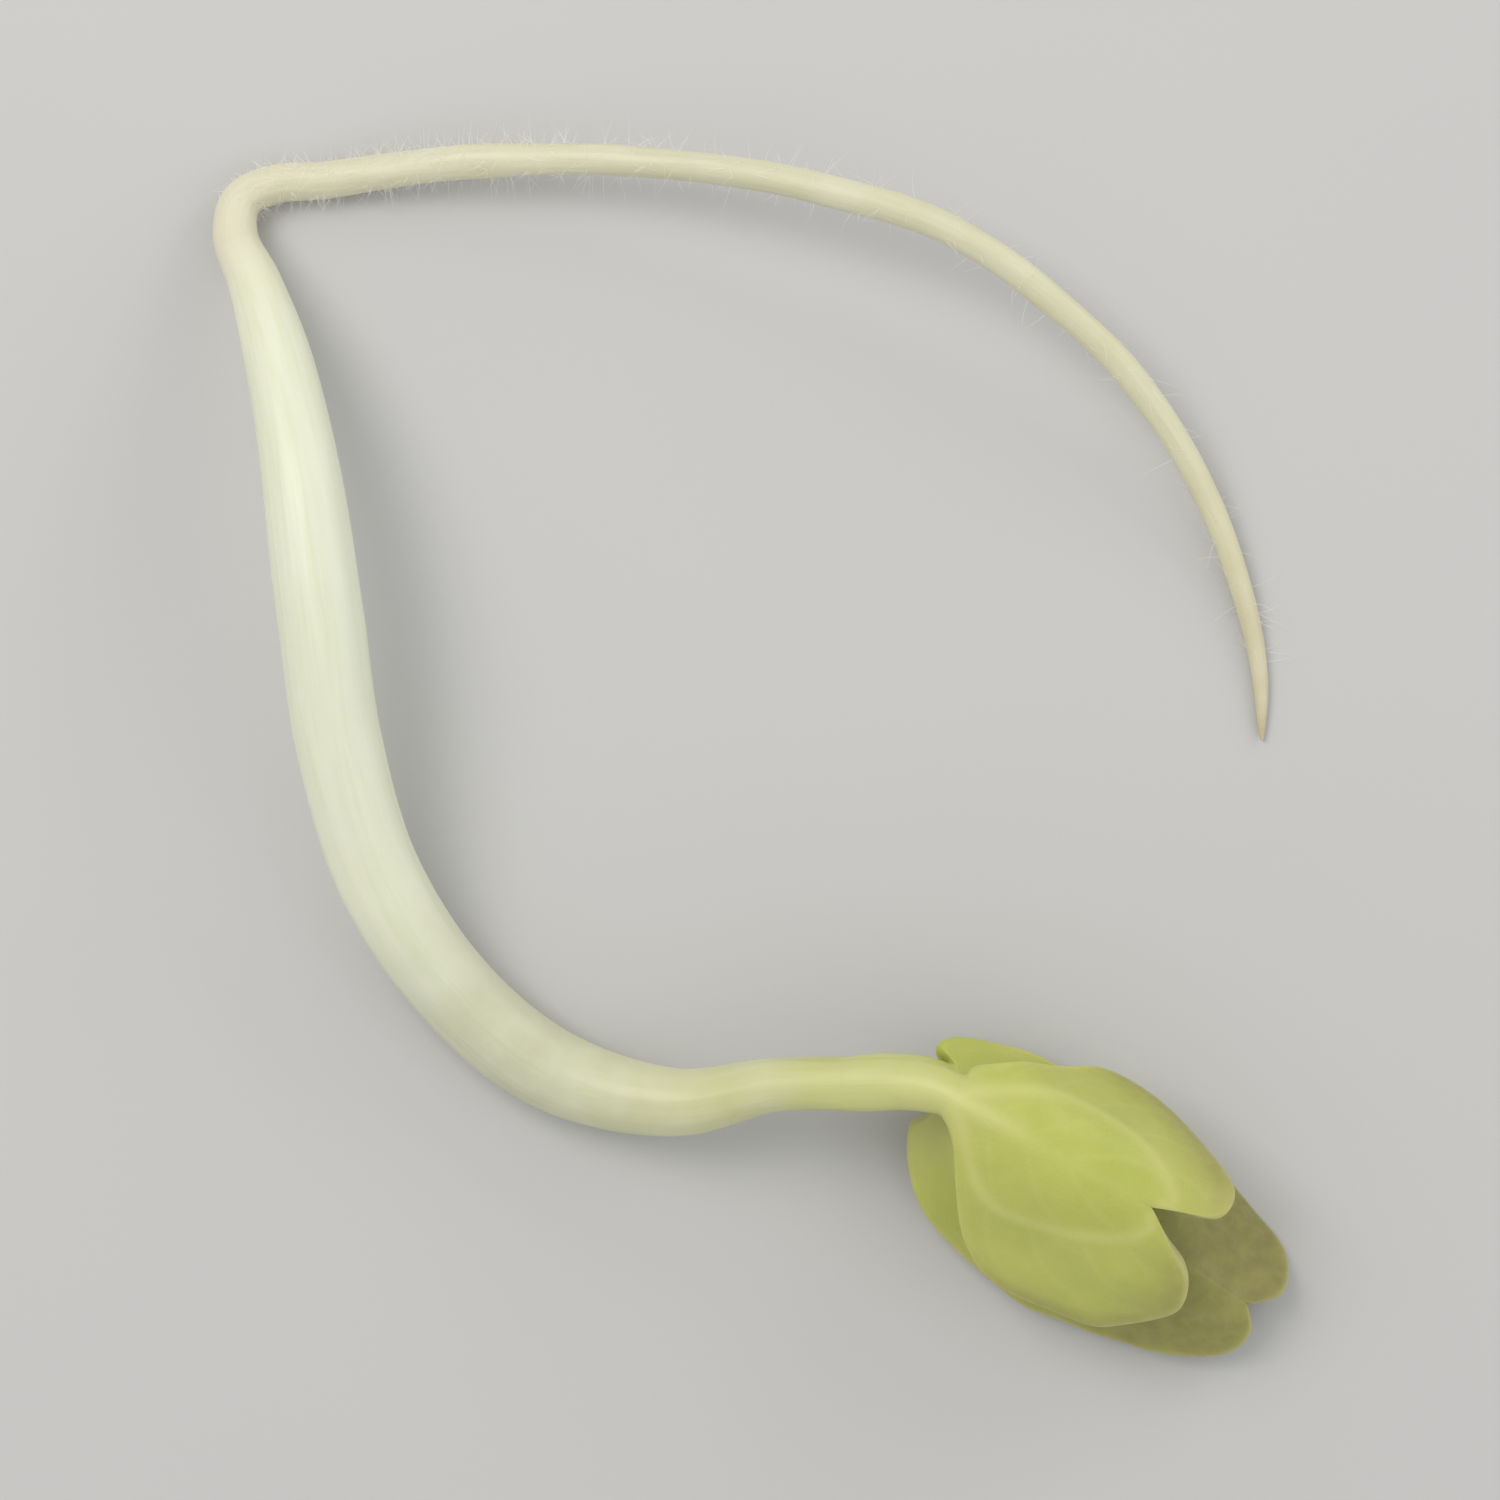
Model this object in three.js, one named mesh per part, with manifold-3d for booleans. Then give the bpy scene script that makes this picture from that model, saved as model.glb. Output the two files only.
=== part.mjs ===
// One radish sprout, picked and laid on a flat surface. Millimetres, +Z up.
// The long white stem loops round on the left, its two folded seed leaves rest at the front right,
// and the thin taproot hooks back from the collar and comes down again at its tip.
import * as THREE from 'three';
import { mergeVertices } from 'three/addons/utils/BufferGeometryUtils.js';
import Module from 'manifold-3d';

const wasm = await Module();
wasm.setup();

// Driving dimensions
const STEM_RADIUS = 0.93;
const NODE_HALF_WIDTH = 0.57;
const NODE_HALF_HEIGHT = 0.95;
const COLLAR_RADIUS = 0.5;
const ROOT_RADIUS = 0.34;
const ROOT_TIP_RADIUS = 0.13;
const LEAF_HALF_THICKNESS = 0.33;
const PETIOLE_HALF_WIDTH = 0.54;
const PETIOLE_HALF_HEIGHT = 0.35;
const PETIOLE_OFFSET = 0.6;
const PETIOLE_LEVEL_REACH = 0.5;
const BUD_LENGTH = 1.0;
const BUD_HALF_WIDTH = 0.3;
const BUD_HALF_HEIGHT = 0.17;
const BUD_BLUNTNESS = 2.2;
const BUD_TIP_SHARE = 0.17;
const JOIN_GAP = 0.02;
const COLLAR_GAP_SHARE = 0.0005;

// Where the folded leaves start, seen from above
const LEAF_BASE = new THREE.Vector3(4.72, -7.78, 0);
const UP = new THREE.Vector3(0, 0, 1);

// The middle line from the leaf node, round the stem's loop, over the collar and along the root.
// Each station is x, y, z, half-width and half-height.
const STEM_STATIONS = [
  [2.6, -7.53, 2.72, NODE_HALF_WIDTH, NODE_HALF_HEIGHT],
  [0.9, -7.6, 2.3, 0.58, 0.78],
  [-1.34, -8.04, 1.5, 0.75, 0.8],
  [-4.02, -7.39, 0.84, 0.9, 0.9],
  [-6.2, -5.56, 1.1, STEM_RADIUS, STEM_RADIUS],
  [-7.66, -3.23, 1.85, STEM_RADIUS, STEM_RADIUS],
  [-8.5, -0.18, 2.8, STEM_RADIUS, STEM_RADIUS],
  [-8.84, 2.5, 3.3, 0.92, 0.92],
  [-9.22, 5.3, 3.15, 0.86, 0.86],
  [-9.87, 8.11, 2.3, 0.72, 0.72],
  [-10.45, 9.75, 1.4, 0.58, 0.58],
  [-10.95, 10.85, 0.8, COLLAR_RADIUS, COLLAR_RADIUS],
];
const ROOT_STATIONS = [
  [-10.85, 11.65, 0.5, 0.45, 0.45],
  [-10.15, 12.05, 0.39, 0.43, 0.43],
  [-8.9, 12.15, 0.4, 0.4, 0.4],
  [-6.2, 12.45, 0.85, 0.37, 0.37],
  [-1.85, 12.35, 1.6, ROOT_RADIUS, ROOT_RADIUS],
  [1.7, 11.75, 2.1, ROOT_RADIUS, ROOT_RADIUS],
  [4.75, 10.75, 2.15, ROOT_RADIUS, ROOT_RADIUS],
  [7.3, 8.98, 1.75, 0.33, 0.33],
  [9.02, 7.24, 1.2, 0.31, 0.31],
  [10.37, 5.06, 0.62, 0.28, 0.28],
  [11.2, 2.9, 0.26, 0.24, 0.24],
  [11.55, 1.2, 0.15, 0.18, 0.18],
  [11.6, -0.18, 0.12, ROOT_TIP_RADIUS, ROOT_TIP_RADIUS],
];

// The way each leaf's midrib points, seen from above, and for each half how sharply it turns down
// at the midrib, how slackly it bends below that, and its margin drawn flat, as distance along
// the midrib and out from it, from base to notch.
const OUTER_LEAF = {
  heading: -29,
  crownHeight: 4.35,
  crownPlace: 2.9,
  crownDrop: 0.06,
  midrib: [0.1, 4.6],
  front: {
    baseTurn: 38,
    turn: 38,
    ridgeRadius: 1.3,
    slackRadius: 14,
    margin: [[-0.1, 0.35], [0.38, 0.9], [0.9, 1.9], [1.35, 2.72], [1.88, 3.43], [2.6, 4.0],
      [3.7, 4.15], [4.9, 3.8], [5.85, 3.0], [6.45, 2.0], [6.2, 1.1], [5.4, 0.5], [4.72, 0.06]],
  },
  back: {
    baseTurn: 56,
    turn: 61,
    ridgeRadius: 1.1,
    slackRadius: 16,
    margin: [[-0.1, 0.35], [0.0, 0.7], [0.5, 1.2], [1.1, 1.85], [1.9, 2.65], [2.7, 3.2],
      [3.6, 3.3], [4.4, 3.05], [5.1, 2.55], [5.7, 1.85], [6.15, 1.1], [6.05, 0.45],
      [5.3, 0.2], [4.72, 0.06]],
  },
};
const INNER_LEAF = {
  heading: -36,
  crownHeight: 2.47,
  crownPlace: 3.0,
  crownDrop: 0.045,
  midrib: [0.1, 7.85],
  front: {
    baseTurn: 30,
    turn: 32,
    ridgeRadius: 1.0,
    slackRadius: 14,
    margin: [[-0.15, 0.35], [-0.35, 0.95], [-0.15, 1.65], [0.3, 2.28], [0.9, 2.82],
      [1.75, 3.28], [2.8, 3.5], [4.0, 3.5], [5.3, 3.2], [6.6, 2.65], [7.65, 1.95], [8.35, 1.2],
      [8.4, 0.5], [7.95, 0.06]],
  },
  back: {
    baseTurn: 34,
    turn: 54,
    ridgeRadius: 0.75,
    slackRadius: 18,
    margin: [[-0.15, 0.35], [-0.6, 0.6], [-0.6, 0.95], [-0.2, 1.38], [0.45, 1.8], [1.4, 2.4],
      [2.6, 2.9], [4.0, 3.1], [5.4, 3.05], [6.6, 2.8], [7.65, 2.3], [8.35, 1.45], [8.45, 0.6],
      [7.95, 0.06]],
  },
};
// How each stalk runs out along its midrib: distance past the midrib's start, with the share
// of its full width and of its full height that is left there.
const PETIOLE_RUN_OUT = [[-0.3, 0.92, 1], [0.9, 0.7, 1], [2.1, 0.3, 0.5]];
const TURN_OPENS_BY = 2.0;
const MARGIN_ROUNDNESS = 8;

// How finely each skin is divided
const STEM_SIDES = 16;
const STEM_STEPS = 50;
const ROOT_SIDES = 12;
const ROOT_STEPS = 56;
const LEAF_SIDES = 36;
const LEAF_STEPS = 26;
const PETIOLE_SIDES = 12;
const PETIOLE_STEPS = 12;
const BUD_SIDES = 12;
const BUD_STEPS = 8;

// A closed skin made by bending a cylinder: place(t, angle, reach) says where each point goes,
// with t from 0 to 1 along it, angle round it from the top, and reach 0 in the middle of an end.
function bentCylinder(sides, steps, place) {
  const cylinder = new THREE.CylinderGeometry(1, 1, 1, sides, steps);
  cylinder.deleteAttribute('normal');
  cylinder.deleteAttribute('uv');
  const skin = mergeVertices(cylinder, 1e-5);
  const points = skin.getAttribute('position');
  const point = new THREE.Vector3();
  for (let i = 0; i < points.count; i++) {
    point.fromBufferAttribute(points, i);
    const placed = place(point.y + 0.5, Math.atan2(point.x, point.z), Math.hypot(point.x, point.z));
    points.setXYZ(i, placed.x, placed.y, placed.z);
  }
  splitShortWays(skin, sides * steps);
  return skin;
}

// Splits each four-cornered facet of the skin along its shorter diagonal, so that bends stay smooth.
function splitShortWays(skin, facets) {
  const points = skin.getAttribute('position');
  const corner = (vertex) => new THREE.Vector3().fromBufferAttribute(points, vertex);
  for (let i = 0; i < facets * 6; i += 6) {
    const [a, b, d, , c] = skin.index.array.slice(i, i + 6);
    if (corner(a).distanceTo(corner(c)) < corner(b).distanceTo(corner(d))) {
      skin.index.array.set([a, b, c, a, c, d], i);
    }
  }
}

// A line through stations, with its half-width and half-height as a second line.
function lineThrough(stations) {
  const middle = new THREE.CatmullRomCurve3(stations.map(([x, y, z]) => new THREE.Vector3(x, y, z)));
  const sizes = new THREE.SplineCurve(stations.map(([, , , w, h]) => new THREE.Vector2(w, h)));
  return { middle, sizes };
}

// A solid tube along the stretch of a line between two shares of its length, with level sides.
function tube(line, sides, steps, from = 0, to = 1) {
  return bentCylinder(sides, steps, (t, angle, reach) => {
    const share = THREE.MathUtils.lerp(from, to, t);
    const heading = line.middle.getTangent(share);
    const side = heading.clone().cross(UP).normalize();
    const top = side.clone().cross(heading);
    const size = line.sizes.getPoint(share);
    return line.middle.getPoint(share)
      .addScaledVector(side, reach * size.x * Math.sin(angle))
      .addScaledVector(top, reach * size.y * Math.cos(angle));
  });
}

function solidOf(geometry) {
  return new wasm.Manifold(new wasm.Mesh({
    numProp: 3,
    vertProperties: new Float32Array(geometry.getAttribute('position').array),
    triVerts: new Uint32Array(geometry.index.array),
  }));
}

function geometryOf(solid) {
  const mesh = solid.getMesh();
  return new THREE.BufferGeometry()
    .setAttribute('position', new THREE.BufferAttribute(mesh.vertProperties, 3))
    .setIndex(new THREE.BufferAttribute(mesh.triVerts, 1));
}

// A large block whose top face lies in the plane through a point, facing the given way.
function blockUnder(point, facing) {
  const size = 60;
  const block = new THREE.BoxGeometry(size, size, size);
  block.translate(0, 0, -size / 2);
  block.applyQuaternion(new THREE.Quaternion().setFromUnitVectors(UP, facing));
  block.translate(point.x, point.y, point.z);
  block.deleteAttribute('normal');
  block.deleteAttribute('uv');
  return solidOf(mergeVertices(block, 1e-5));
}

const FLOOR = blockUnder(new THREE.Vector3(), UP);

// The bend of one leaf half, seen end on: how far out and how far down a point lies
// that is the given distance from the midrib along the leaf.
function bendOf(half, along, distance) {
  const opened = THREE.MathUtils.smoothstep(along, 0, TURN_OPENS_BY);
  const turn = THREE.MathUtils.degToRad(THREE.MathUtils.lerp(half.baseTurn, half.turn, opened));
  const ridge = half.ridgeRadius;
  if (distance < ridge * turn) {
    const angle = distance / ridge;
    return { out: ridge * Math.sin(angle), down: ridge * (1 - Math.cos(angle)) };
  }
  const slack = half.slackRadius;
  const angle = turn + (distance - ridge * turn) / slack;
  return {
    out: ridge * Math.sin(turn) + slack * (Math.sin(angle) - Math.sin(turn)),
    down: ridge * (1 - Math.cos(turn)) + slack * (Math.cos(turn) - Math.cos(angle)),
  };
}

// The leaf's middle surface: a flat point, along the midrib and out to the front (+) or back (-).
function onLeaf(leaf, along, out) {
  const half = out > 0 ? leaf.front : leaf.back;
  const bend = bendOf(half, along, Math.abs(out));
  const crown = leaf.crownHeight - leaf.crownDrop * (along - leaf.crownPlace) ** 2;
  return new THREE.Vector3(along, -Math.sign(out) * bend.out, crown - bend.down)
    .applyAxisAngle(UP, THREE.MathUtils.degToRad(leaf.heading))
    .add(LEAF_BASE);
}

function leafNormal(leaf, along, out) {
  const reach = 0.02;
  const forward = onLeaf(leaf, along + reach, out).sub(onLeaf(leaf, along - reach, out));
  const sideways = onLeaf(leaf, along, out + reach).sub(onLeaf(leaf, along, out - reach));
  return sideways.cross(forward).normalize();
}

// One leaf blade, as thick in the middle as at the sides and rounded along its margin.
function blade(leaf) {
  const margins = {
    front: new THREE.SplineCurve(leaf.front.margin.map(([a, o]) => new THREE.Vector2(a, o))),
    back: new THREE.SplineCurve(leaf.back.margin.map(([a, o]) => new THREE.Vector2(a, -o))),
  };
  return bentCylinder(LEAF_SIDES, LEAF_STEPS, (t, angle, reach) => {
    const quarter = Math.PI / 2;
    const upper = Math.abs(angle) <= quarter;
    const turned = upper ? angle / quarter : Math.sign(angle) * (2 - Math.abs(angle) / quarter);
    const share = reach * turned;
    const edge = (share > 0 ? margins.front : margins.back).getPoint(t);
    const middle = new THREE.Vector2(THREE.MathUtils.lerp(...leaf.midrib, t), 0);
    const flat = middle.lerp(edge, Math.abs(share));
    const thickness = LEAF_HALF_THICKNESS * Math.sqrt(1 - Math.abs(share) ** MARGIN_ROUNDNESS);
    const side = reach === 0 ? 0 : (upper ? 1 : -1);
    return onLeaf(leaf, flat.x, flat.y)
      .addScaledVector(leafNormal(leaf, flat.x, flat.y), side * thickness);
  });
}

// The leaf stalk, from the node into the blade, where it runs out as the midrib.
function petiole(leaf, node, offset) {
  const start = node.point.clone().addScaledVector(node.top, offset);
  const atNode = [-PETIOLE_LEVEL_REACH, 0, PETIOLE_LEVEL_REACH].map((reach) => [
    ...start.clone().addScaledVector(node.heading, reach), PETIOLE_HALF_WIDTH, PETIOLE_HALF_HEIGHT]);
  const underBlade = PETIOLE_RUN_OUT.map(([past, width, height]) => [
    ...onLeaf(leaf, leaf.midrib[0] + past, 0),
    PETIOLE_HALF_WIDTH * width, PETIOLE_HALF_HEIGHT * height]);
  return tube(lineThrough([...atNode, ...underBlade]), PETIOLE_SIDES, PETIOLE_STEPS);
}

function leafGeometry(leaf, node, offset) {
  const stemSide = blockUnder(
    node.point.clone().addScaledVector(node.heading, JOIN_GAP), node.heading);
  const grown = solidOf(blade(leaf)).add(solidOf(petiole(leaf, node, offset)));
  return geometryOf(grown.subtract(stemSide).subtract(FLOOR));
}

// The bud of the first true leaf: a small blunt cone between the two stalks.
function budGeometry(node) {
  return bentCylinder(BUD_SIDES, BUD_STEPS, (t, angle, reach) => {
    const swell = reach * Math.max(BUD_TIP_SHARE, Math.sqrt(1 - t ** BUD_BLUNTNESS));
    return node.point.clone()
      .addScaledVector(node.heading, JOIN_GAP + BUD_LENGTH * t)
      .addScaledVector(node.side, swell * BUD_HALF_WIDTH * Math.sin(angle))
      .addScaledVector(node.top, swell * BUD_HALF_HEIGHT * Math.cos(angle));
  });
}

const axis = lineThrough([...STEM_STATIONS, ...ROOT_STATIONS]);
const collarShare = (STEM_STATIONS.length - 1) / (STEM_STATIONS.length + ROOT_STATIONS.length - 1);

// The leaf node: the stem's cut-square end, with the direction in which the stalks leave it
function leafNode() {
  const heading = axis.middle.getTangent(0).negate();
  const side = heading.clone().cross(UP).normalize();
  return { point: axis.middle.getPoint(0), heading, side, top: side.clone().cross(heading) };
}

function hypocotylGeometry() {
  return geometryOf(solidOf(tube(axis, STEM_SIDES, STEM_STEPS, 0, collarShare)).subtract(FLOOR));
}

function taprootGeometry() {
  const skin = tube(axis, ROOT_SIDES, ROOT_STEPS, collarShare + COLLAR_GAP_SHARE, 1);
  return geometryOf(solidOf(skin).subtract(FLOOR));
}

const FINISHES = {
  stem: { color: 0xe3e6c4, roughness: 0.34, metalness: 0 },
  root: { color: 0xeeebd8, roughness: 0.45, metalness: 0 },
  leaf: { color: 0xb4bf57, roughness: 0.4, metalness: 0 },
  bud: { color: 0xd8df8a, roughness: 0.4, metalness: 0 },
};

const sprout = new THREE.Group();

function addPiece(name, geometry, finish) {
  const piece = new THREE.Mesh(geometry, new THREE.MeshStandardMaterial(finish));
  piece.name = name;
  sprout.add(piece);
}

const node = leafNode();
addPiece('hypocotyl', hypocotylGeometry(), FINISHES.stem);
addPiece('taproot', taprootGeometry(), FINISHES.root);
addPiece('outer_cotyledon', leafGeometry(OUTER_LEAF, node, PETIOLE_OFFSET), FINISHES.leaf);
addPiece('inner_cotyledon', leafGeometry(INNER_LEAF, node, -PETIOLE_OFFSET), FINISHES.leaf);
addPiece('first_leaf_bud', budGeometry(node), FINISHES.bud);

export default sprout;
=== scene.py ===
"""One picked radish sprout, laid on a pale floor and seen from straight above.

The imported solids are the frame. Every node of theirs is replaced here by a finer piece that keeps
its form: the stem, the taproot, the two folded seed leaves and the bud between their stalks. Fine
hairs are added on the root and on the bud.

Sizes are in millimetres until a mesh is made, because the sprout is only 26 mm long. The meshes,
the lights and the camera are in metres, in the same frame as the solids.
"""

from __future__ import annotations

import logging
import math
from dataclasses import dataclass
from enum import Enum
from functools import cached_property
from typing import Iterable, Mapping, Union

import bpy
import numpy as np
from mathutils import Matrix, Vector

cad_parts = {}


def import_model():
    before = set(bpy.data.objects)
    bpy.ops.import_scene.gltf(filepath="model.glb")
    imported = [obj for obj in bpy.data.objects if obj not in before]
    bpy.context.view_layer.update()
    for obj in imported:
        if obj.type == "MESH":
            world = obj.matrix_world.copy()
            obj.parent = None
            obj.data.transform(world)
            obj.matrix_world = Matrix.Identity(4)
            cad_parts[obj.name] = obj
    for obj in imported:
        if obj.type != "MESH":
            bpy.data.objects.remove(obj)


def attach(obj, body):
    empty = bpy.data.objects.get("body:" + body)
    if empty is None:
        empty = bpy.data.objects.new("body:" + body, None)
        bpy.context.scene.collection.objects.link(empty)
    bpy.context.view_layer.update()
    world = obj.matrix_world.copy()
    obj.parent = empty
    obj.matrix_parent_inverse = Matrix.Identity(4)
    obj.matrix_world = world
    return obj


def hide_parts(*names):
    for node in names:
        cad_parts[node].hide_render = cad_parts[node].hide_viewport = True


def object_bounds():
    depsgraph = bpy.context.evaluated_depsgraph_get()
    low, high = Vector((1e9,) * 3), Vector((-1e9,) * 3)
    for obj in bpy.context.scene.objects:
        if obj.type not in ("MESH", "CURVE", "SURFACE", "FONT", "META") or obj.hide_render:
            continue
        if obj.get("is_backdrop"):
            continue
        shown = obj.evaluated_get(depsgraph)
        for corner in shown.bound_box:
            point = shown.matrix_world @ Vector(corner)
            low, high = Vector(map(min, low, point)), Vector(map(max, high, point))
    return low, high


Array = np.ndarray
Number = Union[Array, float]
Colour = tuple[float, float, float]
Range = tuple[float, float]
Rows = tuple[tuple[float, ...], ...]
Material = bpy.types.Material
Node = bpy.types.Node
Piece = bpy.types.Object
Socket = bpy.types.NodeSocket
Tree = bpy.types.NodeTree
Source = Union[Socket, float, Colour]

LOG = logging.getLogger("radish_sprout")
MM = 0.001
FULL_TURN = 2.0 * math.pi
UP = np.array([0.0, 0.0, 1.0])

# Where both blades start, on the floor below the midribs
LEAF_BASE = np.array([4.72, -7.78, 0.0])

# The section of a leaf stalk, and how far its middle lies from the stem's
STALK_HALF_WIDTH = 0.555
STALK_OUTER_HALF = 0.35
STALK_OFFSET = 0.6


class Slot(Enum):
    """The record's material slots."""

    STEM = "stem"
    ROOT = "root"
    OUTER_LEAF = "outer_leaf"
    INNER_LEAF = "inner_leaf"
    BUD = "bud"


# Shapes in numbers


def lerp(start: Number, end: Number, share: Number) -> Number:
    """Goes from start to end by a share of the way."""
    return start + (end - start) * share


def smoothstep(low: Number, high: Number, value: Number) -> Array:
    """Rises smoothly from 0 at low to 1 at high."""
    share = np.clip((np.asarray(value) - low) / (high - low), 0.0, 1.0)
    return share * share * (3.0 - 2.0 * share)


def bell(value: Number, width: Number, power: int = 2) -> Array:
    """Falls smoothly from 1 at 0 to almost 0 at twice the width."""
    return np.exp(-((value / width) ** power))


def fading(distance: Array, reach: float) -> Array:
    """Falls evenly from 1 at a distance of 0 to 0 at the reach."""
    return np.clip(1.0 - distance / reach, 0.0, 1.0)


def unit(vectors: Array) -> Array:
    """Vectors of length 1 in the same directions."""
    return vectors / np.linalg.norm(vectors, axis=-1, keepdims=True)


def around(sides: int) -> Array:
    """The angles of evenly spaced places round a ring."""
    return np.linspace(0.0, FULL_TURN, sides, endpoint=False)


def spline(knots: Array, share: Array, evenness: float = 0.0) -> Array:
    """Points of a smooth line through knots.

    Args:
        knots: The points that the line passes through, one in each row.
        share: Where along the line, from 0 to 1, with the knots evenly spaced.
        evenness: 0 for knots that are about as far apart, 0.5 to keep unevenly spaced ones calm.

    Returns:
        One point for each share.
    """
    knots = np.asarray(knots, float)
    ends = np.vstack([2 * knots[0] - knots[1], knots, 2 * knots[-1] - knots[-2]])
    place = np.clip(share, 0.0, 1.0) * (len(knots) - 1)
    span = np.minimum(place.astype(int), len(knots) - 2)
    t = (place - span)[..., None]
    p0, p1, p2, p3 = (ends[span + step] for step in range(4))
    d0, d1, d2 = (
        np.linalg.norm(b - a, axis=-1, keepdims=True) ** evenness
        for a, b in ((p0, p1), (p1, p2), (p2, p3))
    )
    m1 = ((p1 - p0) / d0 - (p2 - p0) / (d0 + d1) + (p2 - p1) / d1) * d1
    m2 = ((p2 - p1) / d1 - (p3 - p1) / (d1 + d2) + (p3 - p2) / d2) * d1
    bend = -3 * p1 + 3 * p2 - 2 * m1 - m2
    return p1 + m1 * t + bend * t**2 + (2 * p1 - 2 * p2 + m1 + m2) * t**3


def ripple(places: Array, wavelength: float, seed: int, waves: int = 9) -> Array:
    """A smooth, seeded unevenness, mostly between -1 and 1.

    Args:
        places: Points in the last axis, in any number of dimensions.
        wavelength: The usual distance between two crests, in the places' unit.
        seed: Chooses the pattern.
        waves: How many plain waves are added up.

    Returns:
        One number for each place.
    """
    chance = np.random.default_rng(seed)
    directions = unit(chance.normal(size=(waves, places.shape[-1])))
    lengths = wavelength * chance.uniform(0.7, 1.5, waves)
    phases = chance.uniform(0.0, FULL_TURN, waves)
    turns = places @ (directions / lengths[:, None]).T * FULL_TURN
    return np.sin(turns + phases).sum(-1) / math.sqrt(waves / 2.0) * 0.6


def off_the_floor(points: Array, softness: float = 0.02) -> Array:
    """Lifts whatever dips below the floor, so that the skin lies flat on it there."""
    height = points[..., 2:]
    return np.concatenate([points[..., :2], 0.5 * (height + np.sqrt(height**2 + softness**2))], -1)


# Meshes


def walls_of(number: Array) -> Array:
    """The faces that join each ring of vertex numbers to the next."""
    near, far = number[..., :-1, :], number[..., 1:, :]
    return np.stack([near, np.roll(near, -1, -1), np.roll(far, -1, -1), far], -1).reshape(-1, 4)


def mesh_piece(
    name: str,
    points: Array,
    faces: list[list[int]],
    values: Mapping[str, Array],
    material: Material,
    smooth: bool = True,
) -> Piece:
    """Makes one piece of the sprout.

    Args:
        name: The piece's name.
        points: Its vertices, in millimetres.
        faces: Its faces, as lists of vertex numbers.
        values: Numbers or vectors kept at the vertices for the material to read.
        material: What the piece is dressed in.
        smooth: Whether its faces are shaded as one round surface.

    Returns:
        The new object, linked to the scene.
    """
    mesh = bpy.data.meshes.new(name)
    mesh.from_pydata((points * MM).tolist(), [], faces)
    for key, value in values.items():
        kind, entry = ("FLOAT_VECTOR", "vector") if value.ndim == 2 else ("FLOAT", "value")
        kept = mesh.attributes.new(key, kind, "POINT")
        kept.data.foreach_set(entry, value.astype(np.float32).ravel())
    mesh.polygons.foreach_set("use_smooth", [smooth] * len(mesh.polygons))
    mesh.materials.append(material)
    mesh.update()
    piece = bpy.data.objects.new(name, mesh)
    bpy.context.scene.collection.objects.link(piece)
    return piece


def with_ends(grid: Array) -> Array:
    """The rings' points or values in one row, followed by the middles of both ends."""
    flat = grid.reshape(-1, *grid.shape[2:])
    return np.concatenate([flat, grid[0].mean(0)[None], grid[-1].mean(0)[None]])


def closed_skin(
    name: str, rings: Array, values: Mapping[str, Array], material: Material
) -> Piece:
    """Makes a skin of rings of points, closed at both ends, with every face looking outwards.

    Args:
        name: The piece's name.
        rings: The points, as rings by places round a ring by 3, in millimetres.
        values: What the material reads, a number or a vector for each point of the rings.
        material: What the piece is dressed in.

    Returns:
        The new object.
    """
    count, sides = rings.shape[:2]
    number = np.arange(count * sides).reshape(count, sides)
    walls = walls_of(number)
    middles = np.repeat([[count * sides], [count * sides + 1]], sides, axis=1)
    start = np.stack([np.roll(number[0], -1), number[0], middles[0]], -1)
    end = np.stack([number[-1], np.roll(number[-1], -1), middles[1]], -1)
    points = with_ends(rings)
    a, b, c, d = (points[walls[:, corner]] for corner in range(4))
    volume = np.sum(np.cross(b - a, c - a) * a) + np.sum(np.cross(c - a, d - a) * a)
    faces = walls.tolist() + start.tolist() + end.tolist()
    if volume < 0:
        faces = [face[::-1] for face in faces]
    kept = {key: with_ends(value) for key, value in values.items()}
    return mesh_piece(name, points, faces, kept, material)


@dataclass(frozen=True)
class HairCoat:
    """Fine hairs that stand on a skin, each a thin bent cone.

    Attributes:
        length: The longest hair's length.
        thickness: A hair's thickness at its root.
        lean: How far a hair leans from upright, as a share of its length.
        bend: How far it curls over, as a share too.
        seed: Chooses how the hairs lean.
        shortest: The shortest hair, as a share of the longest.
        taper: How much thinner a hair is at its tip, as a share.
        steps: How many rings of points one hair has.
        sides: How many points a ring has.
    """

    length: float
    thickness: float
    lean: float
    bend: float
    seed: int
    shortest: float = 0.35
    taper: float = 0.75
    steps: int = 6
    sides: int = 3

    def build(self, name: str, roots: Array, upright: Array, material: Material) -> Piece:
        """Makes all the hairs as one piece, each closed at its root and at its tip.

        Args:
            name: The piece's name.
            roots: Where each hair stands, in millimetres.
            upright: The way out of the skin there.
            material: What the hairs are dressed in.

        Returns:
            The new object.
        """
        chance = np.random.default_rng(self.seed)
        count = len(roots)
        lengths = self.length * chance.uniform(self.shortest, 1.0, (count, 1, 1))
        leaning = unit(upright + self.lean * chance.normal(size=(count, 3)))[:, None]
        curling = unit(chance.normal(size=(count, 3)))[:, None] * self.bend
        share = np.linspace(0.0, 1.0, self.steps)[None, :, None]
        buried = roots[:, None] - upright[:, None] * self.thickness
        path = buried + lengths * (leaning * share + curling * share**2)
        path[..., 2] = np.maximum(path[..., 2], self.thickness)
        side = unit(np.cross(leaning, curling))
        top = np.cross(leaning, side)
        radius = self.thickness / 2.0 * (1.0 - self.taper * share)
        turns = around(self.sides)
        ways = [side * math.cos(angle) + top * math.sin(angle) for angle in turns]
        points = np.stack([path + radius * way for way in ways], 2).reshape(-1, 3)
        number = np.arange(len(points)).reshape(count, self.steps, self.sides)
        ends = number[:, 0, ::-1].tolist() + number[:, -1].tolist()
        faces = walls_of(number).tolist() + ends
        return mesh_piece(name, points, faces, {}, material, smooth=False)


# Node trees


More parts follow.
